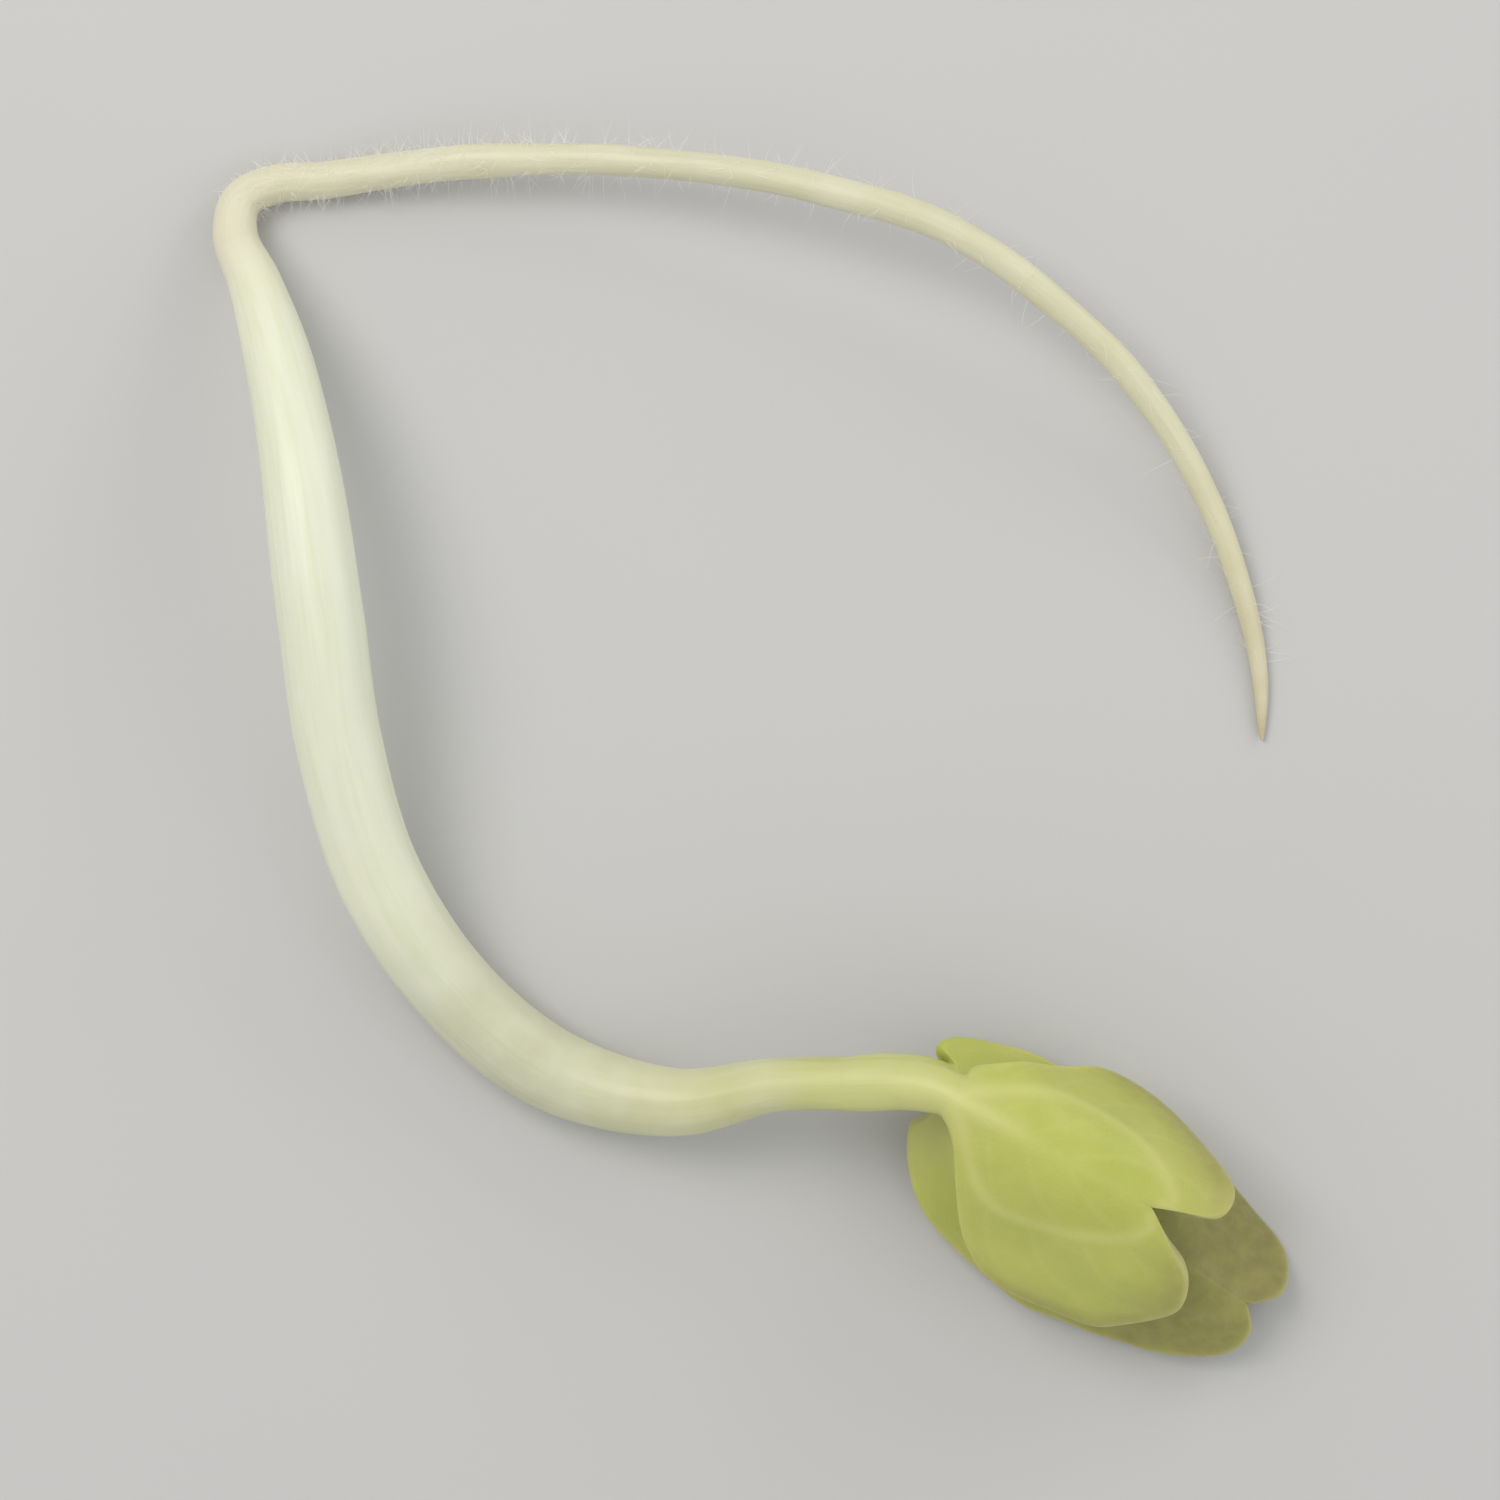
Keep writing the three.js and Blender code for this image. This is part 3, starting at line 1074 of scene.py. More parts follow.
@dataclass(frozen=True)
class Taproot:
    """The thin root, from inside the collar to its pointed tip, and the hairs on it.

    Attributes:
        line: The line it follows.
        rings: How many rings it has.
        sides: How many points a ring has.
        sunk: How far it runs on inside the stem's foot.
        sunk_dip: How much thinner it starts there, as a share.
        lump_depth: How uneven its thickness is, as a share.
        tip_reach: The share of it that runs out into the tip.
        hair_count: How many hairs stand on it.
        hair_thick: Where they stand thickest and how far round there, as shares of the root.
        hair_least: How thick they stand elsewhere, as a share of the thickest.
        hair_bare: The share of the root that is bare at each end.
        hairs: What the hairs are like.
    """

    line: MiddleLine = MiddleLine()
    rings: int = 760
    sides: int = 36
    sunk: float = 1.0
    sunk_dip: float = 0.05
    lump_depth: float = 0.05
    tip_reach: float = 0.05
    hair_count: int = 1100
    hair_thick: Range = (0.22, 0.16)
    hair_least: float = 0.08
    hair_bare: float = 0.05
    hairs: HairCoat = HairCoat(length=0.55, thickness=0.008, lean=0.85, bend=0.45, seed=31)

    @cached_property
    def skin(self) -> tuple[Array, dict[str, Array]]:
        """The root's points and what its material reads there.

        Returns:
            The rings of points, and the values by name.
        """
        stem = self.line.distances(np.linspace(0.0, self.line.collar, 2000))[-1]
        start = self.line.share_at(stem - self.sunk)
        tube = Tube(self.line, np.linspace(start, 1.0, self.rings), self.sides)
        along = tube.distance / tube.distance[-1]
        lumps = self.lump_depth * tube.lumps(pace=0.6, girth=0.5, wavelength=1.3, seed=21)
        lumps = lumps * smoothstep(1.0, 2.4, tube.distance)[:, None]
        inside = 1.0 - self.sunk_dip * fading(tube.distance, self.sunk) ** 2
        point = np.sqrt(1.0 - 0.96 * fading(1.0 - along, self.tip_reach) ** 2)
        swell = (1.0 + lumps) * (inside * point)[:, None]
        aside = tube.half_width * swell * np.sin(tube.angle)
        above = tube.half_height * swell * np.cos(tube.angle)
        off_join = smoothstep(self.sunk * 0.6, self.sunk * 2.4, tube.distance)
        return tube.skin(aside, above, along, off_join)

    def build(self, material: Material) -> Piece:
        """Makes the root."""
        return closed_skin("root", *self.skin, material)

    def build_hairs(self, material: Material) -> Piece:
        """Makes the root's hairs, which stand thickest a little below the collar.

        Args:
            material: What they are dressed in.

        Returns:
            The new object.
        """
        rings, values = self.skin
        along = values["along"][:, 0]
        place, reach = self.hair_thick
        thick = self.hair_least + bell(along - place, reach)
        thick[(along < self.hair_bare) | (along > 1.0 - self.hair_bare)] = 0.0
        chance = np.random.default_rng(self.hairs.seed)
        ring = chance.choice(len(rings), self.hair_count, p=thick / thick.sum())
        roots = rings[ring, chance.integers(0, self.sides, self.hair_count)]
        upright = unit(roots - rings[ring].mean(1))
        return self.hairs.build("root_hairs", roots, upright, material)


# Seed leaves


def both_faces(upper: Array, lower: Array) -> Array:
    """A leaf's upper face followed by its lower one, round each ring."""
    return np.concatenate([upper, lower[:, -2:0:-1]], 1)


@dataclass(frozen=True, kw_only=True)
class LeafHalf:
    """How one half of a seed leaf turns down at the midrib, with its margin drawn flat.

    Attributes:
        base_turn: The turn at the leaf's foot, in degrees.
        turn: The turn further on.
        ridge_radius: How sharply the midrib bends.
        slack_radius: How slackly the half bends below it.
        margin: Points from foot to notch, each along the midrib and out from it.
        loop: The main vein's points, as shares from foot to notch and out to the margin.
        rim_reach: How far in from the margin its brownish tinge and painted shade reach.
        tip_share: How brownish the tip is, with painted shade on it, from 0 to 1.
        pale_reach: How far the stalk's tint runs on, and how much faster it ends sideways.
        opens_by: Where along the midrib the turn is reached.
    """

    base_turn: float
    turn: float
    ridge_radius: float
    slack_radius: float
    margin: Rows
    loop: Rows
    rim_reach: float = 0.5
    tip_share: float = 0.9
    pale_reach: Range = (2.0, 1.5)
    opens_by: float = 2.0

    def bend(self, along: Array, distance: Array) -> tuple[Array, Array]:
        """How far out and how far down a flat place ends up.

        Args:
            along: How far along the midrib it lies.
            distance: How far out from the midrib it lies.

        Returns:
            The distances out and down.
        """
        ridge, slack = self.ridge_radius, self.slack_radius
        degrees = lerp(self.base_turn, self.turn, smoothstep(0.0, self.opens_by, along))
        turn = np.radians(degrees) * smoothstep(-1.5, -0.7, along)
        near = np.minimum(distance / ridge, turn)
        far = turn + np.maximum(distance - ridge * turn, 0.0) / slack
        out = ridge * np.sin(near) + slack * (np.sin(far) - np.sin(turn))
        return out, ridge * (1 - np.cos(near)) + slack * (np.cos(turn) - np.cos(far))


@dataclass(frozen=True)
class Vein:
    """One vein in one half of a leaf.

    Attributes:
        places: The line it follows, each point a share to the notch and a share to the margin.
        width: How wide it shows, in millimetres.
        strength: How strongly it shows at its start and at its end.
    """

    places: Rows
    width: float
    strength: Range


@dataclass(frozen=True, kw_only=True)
class Cotyledon:
    """A folded seed leaf with its stalk, as one skin.

    A place on the leaf is given flat, by how far along the midrib it lies and how far out to the
    front (+) or the back (-). The stalk lies at negative distances along.

    Attributes:
        slot: The material slot it takes its finish from, which names the piece too.
        node: The CAD node it stands for.
        heading: The way the midrib points, seen from above, in degrees from +X.
        crown: The midrib's greatest height, where that is, and how fast it falls off from there.
        rib: Where the midrib starts and where the notch ends it.
        front: The half towards the front.
        back: The half towards the back.
        above: 1 if the stalk leaves the stem above its middle, -1 if below.
        outside_up: Whether the leaf's outer face looks up.
        tip_brown_and_shade: Where the tip's brownish tinge and painted shade start and where they
            are full.
        rim_share: How brownish the margin is, with painted shade where it turns away, from 0 to 1.
        seed: Chooses the leaf's unevenness.
        line: The stem's line, which the stalk leaves at its start.
        blade_half: Half the blade's thickness.
        lip_column: The share of the columns after which the margin rounds off.
        inner_half: How thick the stalk is towards the other stalk, from its middle.
        groove: How deep and how wide the groove along that side is.
        ridge: How high and how wide the midrib stands out on the outer face.
        sunk: How far the stalk runs on inside the stem.
        sunk_depth: How deep its end lies there.
        pucker: How uneven the blade is, and over what distance.
        wave: How wavy its margin is, and over what distance.
        wave_reach: How far in from the margin the waves reach.
        lip_reach: How far in from it the pale lip shows, partly a painted highlight.
        vein_relief: How far the veins stand out of the outer face and of the inner one.
        rows: How many rows of points it has.
        columns: How many points each face has in a row.
    """

    slot: Slot
    node: str
    heading: float
    crown: tuple[float, float, float]
    rib: Range
    front: LeafHalf
    back: LeafHalf
    above: int
    outside_up: bool
    tip_brown_and_shade: Range
    rim_share: float
    seed: int
    line: MiddleLine = MiddleLine()
    blade_half: float = 0.25
    lip_column: float = 0.86
    inner_half: float = 0.27
    groove: Range = (0.1, 0.22)
    ridge: Range = (0.13, 0.3)
    sunk: float = 1.8
    sunk_depth: float = 0.2
    pucker: Range = (0.035, 1.9)
    wave: Range = (0.05, 2.6)
    wave_reach: float = 0.7
    lip_reach: float = 0.2
    vein_relief: Range = (0.012, -0.01)
    rows: int = 210
    columns: int = 150

    @cached_property
    def ways(self) -> tuple[Array, Array]:
        """The level way along the midrib and the level way across it.

        Returns:
            The way to the tip and the way to the back.
        """
        turn = math.radians(self.heading)
        along = np.array([math.cos(turn), math.sin(turn), 0.0])
        return along, np.cross(UP, along)

    def height(self, along: Number) -> Number:
        """The height of the midrib."""
        highest, place, drop = self.crown
        return highest - drop * (along - place) ** 2

    @cached_property
    def stalk_ends(self) -> tuple[Array, Array, Array, Array]:
        """Where the stalk leaves the stem and where it meets the blade.

        Returns:
            Its first point and its way there, then its last point and its way there.
        """
        top, heading, _, up = self.line.start
        _, place, drop = self.crown
        start = top + up * (self.above * STALK_OFFSET)
        way = self.ways[0] + UP * (2.0 * drop * place)
        return start, -heading, LEAF_BASE + UP * self.height(0.0), way

    @cached_property
    def stalk_length(self) -> float:
        """The stalk's length, from the stem's top to the blade."""
        start, _, end, _ = self.stalk_ends
        return float(np.linalg.norm(end - start))

    def stalk_line(self, along: Array) -> tuple[Array, Array]:
        """The stalk's middle line, which goes on inside the stem.

        Args:
            along: Distances along the midrib, of 0 or less.

        Returns:
            The line's points there and its way on.
        """
        start, start_way, end, end_way = self.stalk_ends
        length = self.stalk_length
        t = np.clip(along / length + 1.0, 0.0, 1.0)[..., None]
        leave, arrive = start_way * length, end_way * length
        point = start * (2 * t**3 - 3 * t**2 + 1) + leave * (t**3 - 2 * t**2 + t)
        point = point + end * (3 * t**2 - 2 * t**3) + arrive * (t**3 - t**2)
        way = (end - start) * (6 * t - 6 * t**2) + leave * (3 * t**2 - 4 * t + 1)
        way = way + arrive * (3 * t**2 - 2 * t)
        inside = np.maximum(-along - length, 0.0)
        share = self.line.share_at(inside)
        heading, _, up = self.line.axes(share)
        depth = STALK_OUTER_HALF + self.sunk_depth * (inside / self.sunk) ** 3
        lift = self.above * (self.line.sizes(share)[..., 1] - depth)
        sunk = self.line.at(share) + up * lift[..., None]
        is_inside = (inside > 0.0)[..., None]
        return np.where(is_inside, sunk, point), np.where(is_inside, -heading, unit(way))

    def sheet(self, along: Array, out: Array) -> Array:
        """The middle surface of the leaf.

        Args:
            along: How far along the midrib each place lies.
            out: How far out from it.

        Returns:
            The surface's points there.
        """
        distance = np.abs(out)
        front, back = self.front.bend(along, distance), self.back.bend(along, distance)
        sideways = np.where(out > 0, -front[0], back[0])[..., None]
        down = UP * np.where(out > 0, front[1], back[1])[..., None]
        straight = LEAF_BASE + self.ways[0] * along[..., None] + self.ways[1] * sideways
        straight = straight + UP * self.height(along)[..., None] - down
        point, heading = self.stalk_line(np.minimum(along, 0.0))
        bent = point + unit(np.cross(UP, heading)) * sideways - down
        share = np.where(along < 0, 1.0 - smoothstep(0.6, 1.3, distance), 0.0)[..., None]
        return lerp(straight, bent, share)

    def facing(self, along: Array, out: Array) -> Array:
        """The way up from the middle surface.

        Args:
            along: How far along the midrib each place lies.
            out: How far out from it.

        Returns:
            The way up there.
        """
        step = 0.03
        forward = self.sheet(along + step, out) - self.sheet(along - step, out)
        sideways = self.sheet(along, out + step) - self.sheet(along, out - step)
        return unit(np.cross(sideways, forward))

    def outline(self, half: LeafHalf, share: Array, of_blade: bool = False) -> tuple[Array, Array]:
        """The midrib and the margin of one half, drawn flat.

        Args:
            half: The half.
            share: Where along them, from 0 at the stalk's start to 1 at the notch.
            of_blade: Whether the shares start at the blade's foot instead.

        Returns:
            The points of the midrib and those of the margin.
        """
        width, length = STALK_HALF_WIDTH, self.stalk_length
        stalk = (
            (-length - self.sunk, 0.6 * width),
            (-length, width),
            (-0.5 * length, 0.97 * width),
            (-0.55, 0.93 * width),
        )
        if of_blade:
            blade = len(half.margin) - 1
            share = np.clip((len(stalk) + share * blade) / (len(stalk) + blade), 0.0, 1.0)
        ribs = [place for place, _ in stalk] + list(np.linspace(*self.rib, len(half.margin)))
        midrib = np.stack([ribs, np.zeros(len(ribs))], -1)
        return spline(midrib, share), spline(np.array(stalk + half.margin), share)

    @staticmethod
    def veins_of(half: LeafHalf) -> list[Vein]:
        """The veins of one half: its loop, its branches and the arches near the margin.

        Args:
            half: The half.

        Returns:
            The veins.
        """
        veins = [
            Vein(((-0.3, 0.0), (0.1, 0.0), (0.4, 0.0)), 0.2, (0.9, 0.2)),
            Vein(((0.4, 0.0), (0.7, 0.0), (1.0, 0.0)), 0.1, (0.2, 0.1)),
            Vein(half.loop, 0.17, (0.65, 0.5)),
        ]
        fine, faint, near_margin = 0.07, (0.15, 0.15), 0.88
        for at in (0.16, 0.3, 0.44, 0.58, 0.72):
            out = np.interp(at, *np.array(half.loop).T)
            halfway = (at + 0.04, lerp(out, near_margin, 0.5))
            places = ((at, out), halfway, (at + 0.13, near_margin))
            veins.append(Vein(places, fine, (0.2, 0.08)))
        for at in (0.12, 0.34, 0.55):
            out = np.interp(at + 0.2, *np.array(half.loop).T)
            places = ((at, 0.0), (at + 0.09, 0.45 * out), (at + 0.2, out))
            veins.append(Vein(places, fine, faint))
        arches = ((0.14, 0.78), (0.3, 0.88), (0.5, 0.84), (0.7, 0.88), (0.88, 0.8), (0.97, 0.5))
        return [*veins, Vein(arches, fine, faint)]

    def vein_mask(self, flat: Array) -> Array:
        """How strongly a vein shows.

        Args:
            flat: Places on the leaf.

        Returns:
            A number from 0 to 1 for each place.
        """
        mask = np.zeros(flat.shape[:-1])
        for half, sign in ((self.front, 1.0), (self.back, -1.0)):
            chosen = flat[..., 1] * sign >= -0.3
            places = flat[chosen] * (1.0, sign)
            strongest = np.zeros(len(places))
            for vein in self.veins_of(half):
                track = spline(vein.places, np.linspace(0.0, 1.0, 70))
                drawn = lerp(*self.outline(half, track[:, 0], of_blade=True), track[:, 1:])
                for point, strength in zip(drawn, np.linspace(*vein.strength, len(drawn))):
                    gap = np.linalg.norm(places - point, axis=-1)
                    strongest = np.maximum(strongest, strength * bell(gap, vein.width))
            mask[chosen] = np.maximum(mask[chosen], strongest)
        return mask * smoothstep(0.0, 1.6, flat[..., 0] + self.stalk_length)

    def build(self, material: Material) -> Piece:
        """Makes the leaf.

        Args:
            material: What it is dressed in.

        Returns:
            The new object.
        """
        share = np.linspace(0.0, 1.0, self.rows)
        column = np.linspace(-1.0, 1.0, self.columns)
        (ribs, front), (_, back) = (self.outline(half, share) for half in (self.front, self.back))
        is_front = (column > 0)[None, :, None]
        margin = np.where(is_front, front[:, None], back[:, None] * (1.0, -1.0))
        width = np.linalg.norm(margin - ribs[:, None], axis=-1)
        blade_half = np.minimum(self.blade_half, 0.8 * width)
        lip_share = blade_half / width
        lip = (np.abs(column) - self.lip_column) / (1.0 - self.lip_column)
        lip_turn = np.clip(lip, 0.0, 1.0) * math.pi / 2.0
        reach = np.minimum(np.abs(column) / self.lip_column, 1.0) * (1.0 - lip_share)
        reach = reach + lip_share * np.sin(lip_turn)
        flat = lerp(ribs[:, None], margin, reach[..., None])
        along, out = flat[..., 0], flat[..., 1]
        edge = (1.0 - reach) * width
        veins = self.vein_mask(flat)
        stalk = 1.0 - smoothstep(-0.9, 1.0, ribs[:, :1])
        (pucker, pucker_length), (wave, wave_length) = self.pucker, self.wave
        wavy = wave * ripple(flat, wave_length, self.seed + 1) * bell(edge, self.wave_reach)
        uneven = pucker * ripple(flat, pucker_length, self.seed) + wavy
        up = self.facing(along, out)
        middle = self.sheet(along, out) + up * (uneven * (1.0 - stalk))[..., None]
        faces = []
        full = np.cos(lip_turn)
        for side in (1, -1):
            outer = (side > 0) == self.outside_up
            half = self.thickness(blade_half, full, reach, stalk, flat, outer)
            half = half + veins * full * self.vein_relief[0 if outer else 1]
            faces.append(middle + up * (side * half)[..., None])
        values = self.values(flat, veins, edge, reach)
        return closed_skin(self.slot.value, off_the_floor(both_faces(*faces)), values, material)

    def thickness(
        self, blade_half: Array, full: Array, reach: Array, stalk: Array, flat: Array, outer: bool
    ) -> Array:
        """How far one face stands from the middle surface.

        Args:
            blade_half: Half the blade's thickness.
            full: How full the blade is, which falls to 0 over its margin.
            reach: The share of the way from the midrib to the margin.
            stalk: How much of a row is stalk, from 0 to 1.
            flat: Places on the leaf.
            outer: Whether this is the leaf's outer face, which has the raised midrib.

        Returns:
            The distances, in millimetres.
        """
        depth, width = self.ridge if outer else self.groove
        line = depth * bell(flat[..., 1], width) * full
        blade = blade_half * full
        rounded = np.sqrt(np.maximum(1.0 - reach**2, 0.0))
        if outer:
            ridge = line * (1.0 - smoothstep(0.0, 2.2, flat[..., 0]))
            return lerp(blade + ridge, STALK_OUTER_HALF * rounded, stalk)
        return lerp(blade, self.inner_half * rounded - line, stalk)

    def values(self, flat: Array, veins: Array, edge: Array, reach: Array) -> dict[str, Array]:
        """What the leaf finish reads at every point of the rings.

        Args:
            flat: Places on the leaf.
            veins: How strongly a vein shows there.
            edge: How far the places lie from the margin.
            reach: The share of the way from the midrib to the margin.

        Returns:
            The values by name.
        """
        along, out = flat[..., 0], np.abs(flat[..., 1])
        halves = (
            (*half.pale_reach, half.rim_reach, half.tip_share) for half in (self.front, self.back)
        )
        pale_on, pale_out, rim_reach, tip_share = (
            np.where(flat[..., 1] > 0, front, back) for front, back in zip(*halves)
        )
        # Brownish tinge at the margin and the tip, partly painted shade where they turn away or lie
        # under the other leaf
        rim = bell(edge, rim_reach) * smoothstep(1.2, 3.6, along)
        rim = rim * (0.5 + 0.5 * smoothstep(0.1, 1.2, out))
        tip = tip_share * smoothstep(*self.tip_brown_and_shade, along)
        level = np.zeros((*along.shape, 1))
        shared = {
            "grain": np.concatenate([flat[..., 1:], level, flat[..., :1]], -1),
            "vein": veins,
            # The pale margin, partly a painted highlight along the edge
            "lip": bell(edge, self.lip_reach) * smoothstep(-0.3, 0.8, along),
            "stalk": 1.0 - smoothstep(-0.8, pale_on, along + pale_out * out),
            "off_join": smoothstep(0.0, 1.4, along + self.stalk_length),
            "brown_and_shade": np.maximum(tip, self.rim_share * rim),
        }
        upper, lower = (np.concatenate([flat, level + shift], -1) for shift in (0.0, 3.0))
        inner = np.minimum((1.0 - reach) * 12.0, 1.0)
        return {
            **{name: both_faces(value, value) for name, value in shared.items()},
            "flow": both_faces(upper, lower),
            "inner_face": both_faces(inner * (not self.outside_up), inner * self.outside_up),
        }


# The seed leaf on top, which shows its outer face, its veins and its notch
OUTER_COTYLEDON = Cotyledon(
    slot=Slot.OUTER_LEAF,
    node="outer_cotyledon",
    heading=-29.0,
    crown=(4.35, 2.9, 0.06),
    rib=(0.1, 4.6),
    front=LeafHalf(
        base_turn=38,
        turn=38,
        ridge_radius=1.3,
        slack_radius=14,
        margin=(
            (-0.1, 0.5), (0.38, 0.94), (0.9, 1.9), (1.35, 2.72), (1.88, 3.43), (2.6, 4.0),
            (3.7, 4.15), (4.9, 3.8), (5.55, 3.3), (6.1, 2.65), (6.42, 1.9), (6.15, 1.05),
            (5.4, 0.5), (4.72, 0.06),
        ),
        loop=((0.0, 0.28), (0.1, 0.47), (0.27, 0.5), (0.5, 0.37), (0.75, 0.35), (0.95, 0.4)),
    ),
    back=LeafHalf(
        base_turn=56,
        turn=61,
        ridge_radius=1.1,
        slack_radius=16,
        # A wider brownish rim on this half, partly painted shade where it turns down and away
        rim_reach=0.95,
        margin=(
            (-0.1, 0.5), (0.0, 0.78), (0.5, 1.2), (1.1, 1.85), (1.9, 2.65), (2.7, 3.2),
            (3.6, 3.3), (4.4, 3.05), (5.1, 2.55), (5.7, 1.85), (6.15, 1.1), (6.05, 0.45),
            (5.3, 0.2), (4.72, 0.06),
        ),
        loop=((0.02, 0.25), (0.15, 0.4), (0.35, 0.37), (0.55, 0.38), (0.7, 0.43), (0.92, 0.5)),
    ),
    above=1,
    outside_up=True,
    tip_brown_and_shade=(4.6, 7.2),
    rim_share=0.75,
    seed=41,
)

# The seed leaf nested under the first, which reaches further and lies on the floor
INNER_COTYLEDON = Cotyledon(
    slot=Slot.INNER_LEAF,
    node="inner_cotyledon",
    heading=-36.0,
    crown=(2.47, 3.0, 0.045),
    rib=(0.1, 7.85),
    front=LeafHalf(
        base_turn=30,
        turn=32,
        ridge_radius=1.0,
        slack_radius=14,
        margin=(
            (-0.2, 0.5), (-0.38, 0.98), (-0.15, 1.65), (0.3, 2.28), (0.9, 2.82), (1.75, 3.28),
            (2.8, 3.5), (4.0, 3.5), (5.3, 3.2), (6.6, 2.65), (7.65, 1.95), (8.35, 1.2),
            (8.4, 0.5), (7.95, 0.06),
        ),
        loop=((0.02, 0.3), (0.15, 0.5), (0.3, 0.55), (0.5, 0.5), (0.75, 0.46), (0.94, 0.5)),
        tip_share=0.76,
        pale_reach=(3.2, 0.8),
    ),
    back=LeafHalf(
        base_turn=34,
        turn=54,
        ridge_radius=0.75,
        slack_radius=18,
        margin=(
            (-0.35, 0.5), (-0.6, 0.72), (-0.6, 1.0), (-0.2, 1.4), (0.45, 1.8), (1.4, 2.4),
            (2.6, 2.9), (4.0, 3.1), (5.4, 3.05), (6.6, 2.8), (7.65, 2.3), (8.35, 1.45),
            (8.45, 0.6), (7.95, 0.06),
        ),
        loop=((0.02, 0.3), (0.15, 0.45), (0.3, 0.5), (0.5, 0.48), (0.75, 0.46), (0.94, 0.5)),
        pale_reach=(0.8, 1.5),
    ),
    above=-1,
    outside_up=False,
    # An early brownish tip, partly painted shade where the outer leaf covers it below the notch
    tip_brown_and_shade=(3.4, 6.4),
    rim_share=0.5,
    seed=51,
)


@dataclass(frozen=True)
class FirstLeafBud:
    """The bud between the stalks: two tiny leaves pressed together, with a few bristles.

    Attributes:
        line: The stem's line, which the bud continues.
        ring_count: How many rings it has.
        sides: How many points a ring has.
        length: How far it reaches from the stem's top.
        buried: How much of it lies inside the stem, as a share of its length.
        half_width: Its half-width.
        half_height: Its half-height.
        parting: How deep and how wide the line between the two leaves is, as shares.
        cleft: How far the tip parts.
        bristle_count: How many bristles it has.
        bristle_start: The first ring that carries bristles.
        bristles: What they are like.
    """

    line: MiddleLine = MiddleLine()
    ring_count: int = 90
    sides: int = 48
    length: float = 1.0
    buried: float = 0.7
    half_width: float = 0.3
    half_height: float = 0.17
    parting: Range = (0.28, 0.25)
    cleft: float = 0.12
    bristle_count: int = 46
    bristle_start: int = 50
    bristles: HairCoat = HairCoat(length=0.2, thickness=0.012, lean=0.25, bend=0.2, seed=61)

    @cached_property
    def rings(self) -> Array:
        """The bud's rings, from inside the stem's top to its tip.

        Returns:
            The rings of points.
        """
        share = np.linspace(-self.buried, 1.0, self.ring_count)[:, None]
        angle = around(self.sides)
        start, heading, side, top = self.line.start
        parting, parting_width = self.parting
        seam = bell(np.cos(angle), parting_width)
        tip = np.clip(share, 0.0, 1.0)
        swell = np.sqrt(np.maximum(1.0 - tip**2.2, 0.0)) + 0.02
        width = swell * self.half_width * np.sin(angle) * (1.0 - parting * seam)
        height = swell * self.half_height * np.cos(angle)
        reach = self.length * share - self.cleft * seam * tip**3
        rings = start - heading * reach[..., None]
        return rings + side * width[..., None] + top * height[..., None]

    def build(self, material: Material) -> Piece:
        """Makes the bud."""
        return closed_skin("bud", self.rings, {}, material)

    def build_bristles(self, material: Material) -> Piece:
        """Makes the bristles on the bud's outer half, which lean towards its tip.

        Args:
            material: What they are dressed in.

        Returns:
            The new object.
        """
        chance = np.random.default_rng(self.bristles.seed)
        ring = chance.integers(self.bristle_start, self.ring_count - 3, self.bristle_count)
        roots = self.rings[ring, chance.integers(0, self.sides, self.bristle_count)]
        upright = unit(roots - self.rings[ring - 12].mean(1))
        return self.bristles.build("bud_bristles", roots, upright, material)


# Studio


@dataclass(frozen=True)
class SoftBox:
    """A square area light, with places and size in millimetres."""

    name: str
    place: tuple[float, float, float]
    size: float
    watts: float
    colour: Colour = (1.0, 1.0, 1.0)

    def build(self) -> Piece:
        """Makes the light, aimed at the middle of the sprout.

        Returns:
            The light.
        """
        lamp = bpy.data.lights.new(self.name, "AREA")
        lamp.shape = "SQUARE"
        lamp.size = self.size * MM
        lamp.energy = self.watts
        lamp.color = self.colour
        light = bpy.data.objects.new(self.name, lamp)
        light.location = Vector(self.place) * MM
        light.rotation_euler = (-light.location).to_track_quat("-Z", "Y").to_euler()
        bpy.context.scene.collection.objects.link(light)
        return light


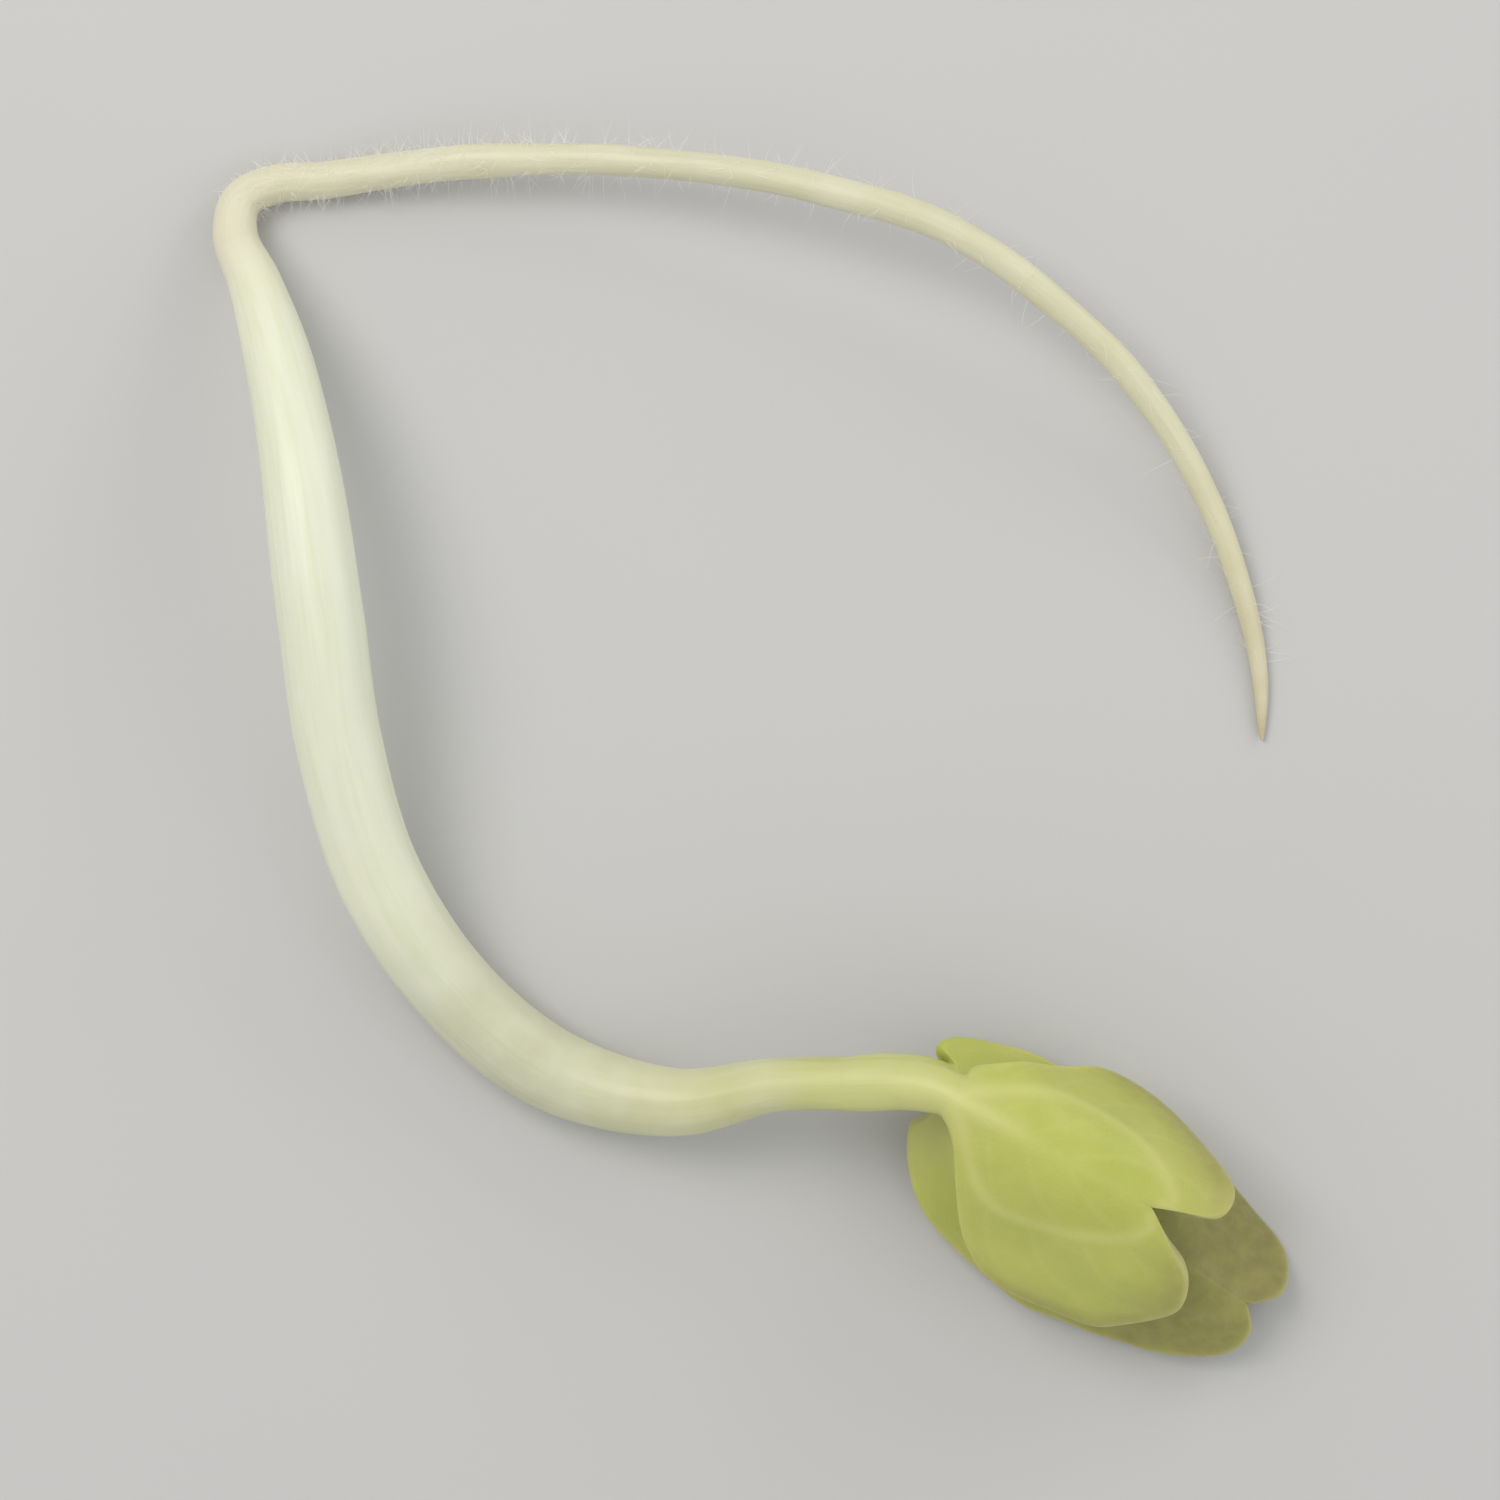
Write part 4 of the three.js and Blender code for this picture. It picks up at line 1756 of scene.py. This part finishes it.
@dataclass(frozen=True)
class Studio:
    """The pale floor, the soft light and the camera that looks straight down.

    Attributes:
        floor_side: The floor's side, in metres.
        focal_length: The lens, in millimetres.
        sensor: The sensor's side, in millimetres.
        clip: The nearest and the furthest that the camera sees, in metres.
        fill: The share of the frame's side that the sprout takes up.
        sky: The colour of the light from all round.
        sky_strength: Its strength.
        lights: The soft boxes.
    """

    floor_side: float = 1.2
    focal_length: float = 100.0
    sensor: float = 36.0
    clip: Range = (0.005, 10.0)
    fill: float = 0.82
    sky: Colour = (0.97, 0.98, 1.0)
    sky_strength: float = 0.62
    lights: tuple[SoftBox, ...] = (
        SoftBox("key", (-75.0, 60.0, 140.0), 90.0, 0.12, (1.0, 0.98, 0.95)),
        SoftBox("fill", (110.0, -50.0, 100.0), 110.0, 0.03),
        SoftBox("rim", (90.0, 90.0, 60.0), 60.0, 0.03),
    )

    def build_floor(self, material: Material) -> Piece:
        """Makes the floor, which isn't part of the sprout.

        Args:
            material: What it is dressed in.

        Returns:
            The new object.
        """
        half = self.floor_side / 2.0
        mesh = bpy.data.meshes.new("floor")
        corners = [(x * half, y * half, 0) for x, y in ((-1, -1), (1, -1), (1, 1), (-1, 1))]
        mesh.from_pydata(corners, [], [[0, 1, 2, 3]])
        mesh.materials.append(material)
        floor = bpy.data.objects.new("floor", mesh)
        bpy.context.scene.collection.objects.link(floor)
        floor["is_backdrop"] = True
        return floor

    def build_light(self) -> None:
        """Makes the soft boxes and the light from all round."""
        for box in self.lights:
            box.build()
        world = bpy.data.worlds.new("soft_sky")
        world.use_nodes = True
        background = world.node_tree.nodes["Background"]
        background.inputs["Color"].default_value = (*self.sky, 1.0)
        background.inputs["Strength"].default_value = self.sky_strength
        bpy.context.scene.world = world
        bpy.context.scene.view_settings.view_transform = "Standard"

    def build_camera(self, low: Vector, high: Vector) -> Piece:
        """Makes the camera, high enough for the whole sprout.

        Args:
            low: The lowest corner of the sprout's box, in metres.
            high: Its highest corner.

        Returns:
            The camera.
        """
        lens = bpy.data.cameras.new("camera")
        lens.lens = self.focal_length
        lens.sensor_width = self.sensor
        lens.clip_start, lens.clip_end = self.clip
        frame_side = max(high.x - low.x, high.y - low.y) / self.fill
        camera = bpy.data.objects.new("camera", lens)
        middle = (low + high) / 2.0
        height = frame_side * self.focal_length / self.sensor
        camera.location = (middle.x, middle.y, middle.z + height)
        bpy.context.scene.collection.objects.link(camera)
        bpy.context.scene.camera = camera
        return camera


def settle(piece: Piece, slot: Slot, node: str | None = None) -> None:
    """Ties a piece to the frame and reports it.

    Args:
        piece: The piece.
        slot: The material slot it takes its finish from.
        node: The CAD node it stands for, if it does.
    """
    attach(piece, "root")
    if node is not None:
        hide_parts(node)
    triangles = sum(len(face.vertices) - 2 for face in piece.data.polygons)
    LOG.info("%s: %d triangles, slot %s", piece.name, triangles, slot.value)


def main() -> None:
    """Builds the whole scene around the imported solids."""
    logging.basicConfig(level=logging.INFO, format="%(name)s: %(message)s")
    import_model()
    cad_low, cad_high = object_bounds()
    groups = TissueGroups()

    settle(Hypocotyl().build(STEM_FINISH.build(groups)), Slot.STEM, "hypocotyl")
    taproot, hair = Taproot(), HAIR_FINISH.build(groups)
    settle(taproot.build(ROOT_FINISH.build(groups)), Slot.ROOT, "taproot")
    settle(taproot.build_hairs(hair), Slot.ROOT)
    for leaf, finish in (
        (OUTER_COTYLEDON, OUTER_LEAF_FINISH),
        (INNER_COTYLEDON, INNER_LEAF_FINISH),
    ):
        settle(leaf.build(finish.build(groups)), leaf.slot, leaf.node)
    bud = FirstLeafBud()
    settle(bud.build(BUD_FINISH.build(groups)), Slot.BUD, "first_leaf_bud")
    settle(bud.build_bristles(hair), Slot.BUD)

    studio = Studio()
    studio.build_floor(FLOOR_FINISH.build(groups))
    studio.build_light()
    studio.build_camera(cad_low, cad_high)


if __name__ == "__main__":
    main()
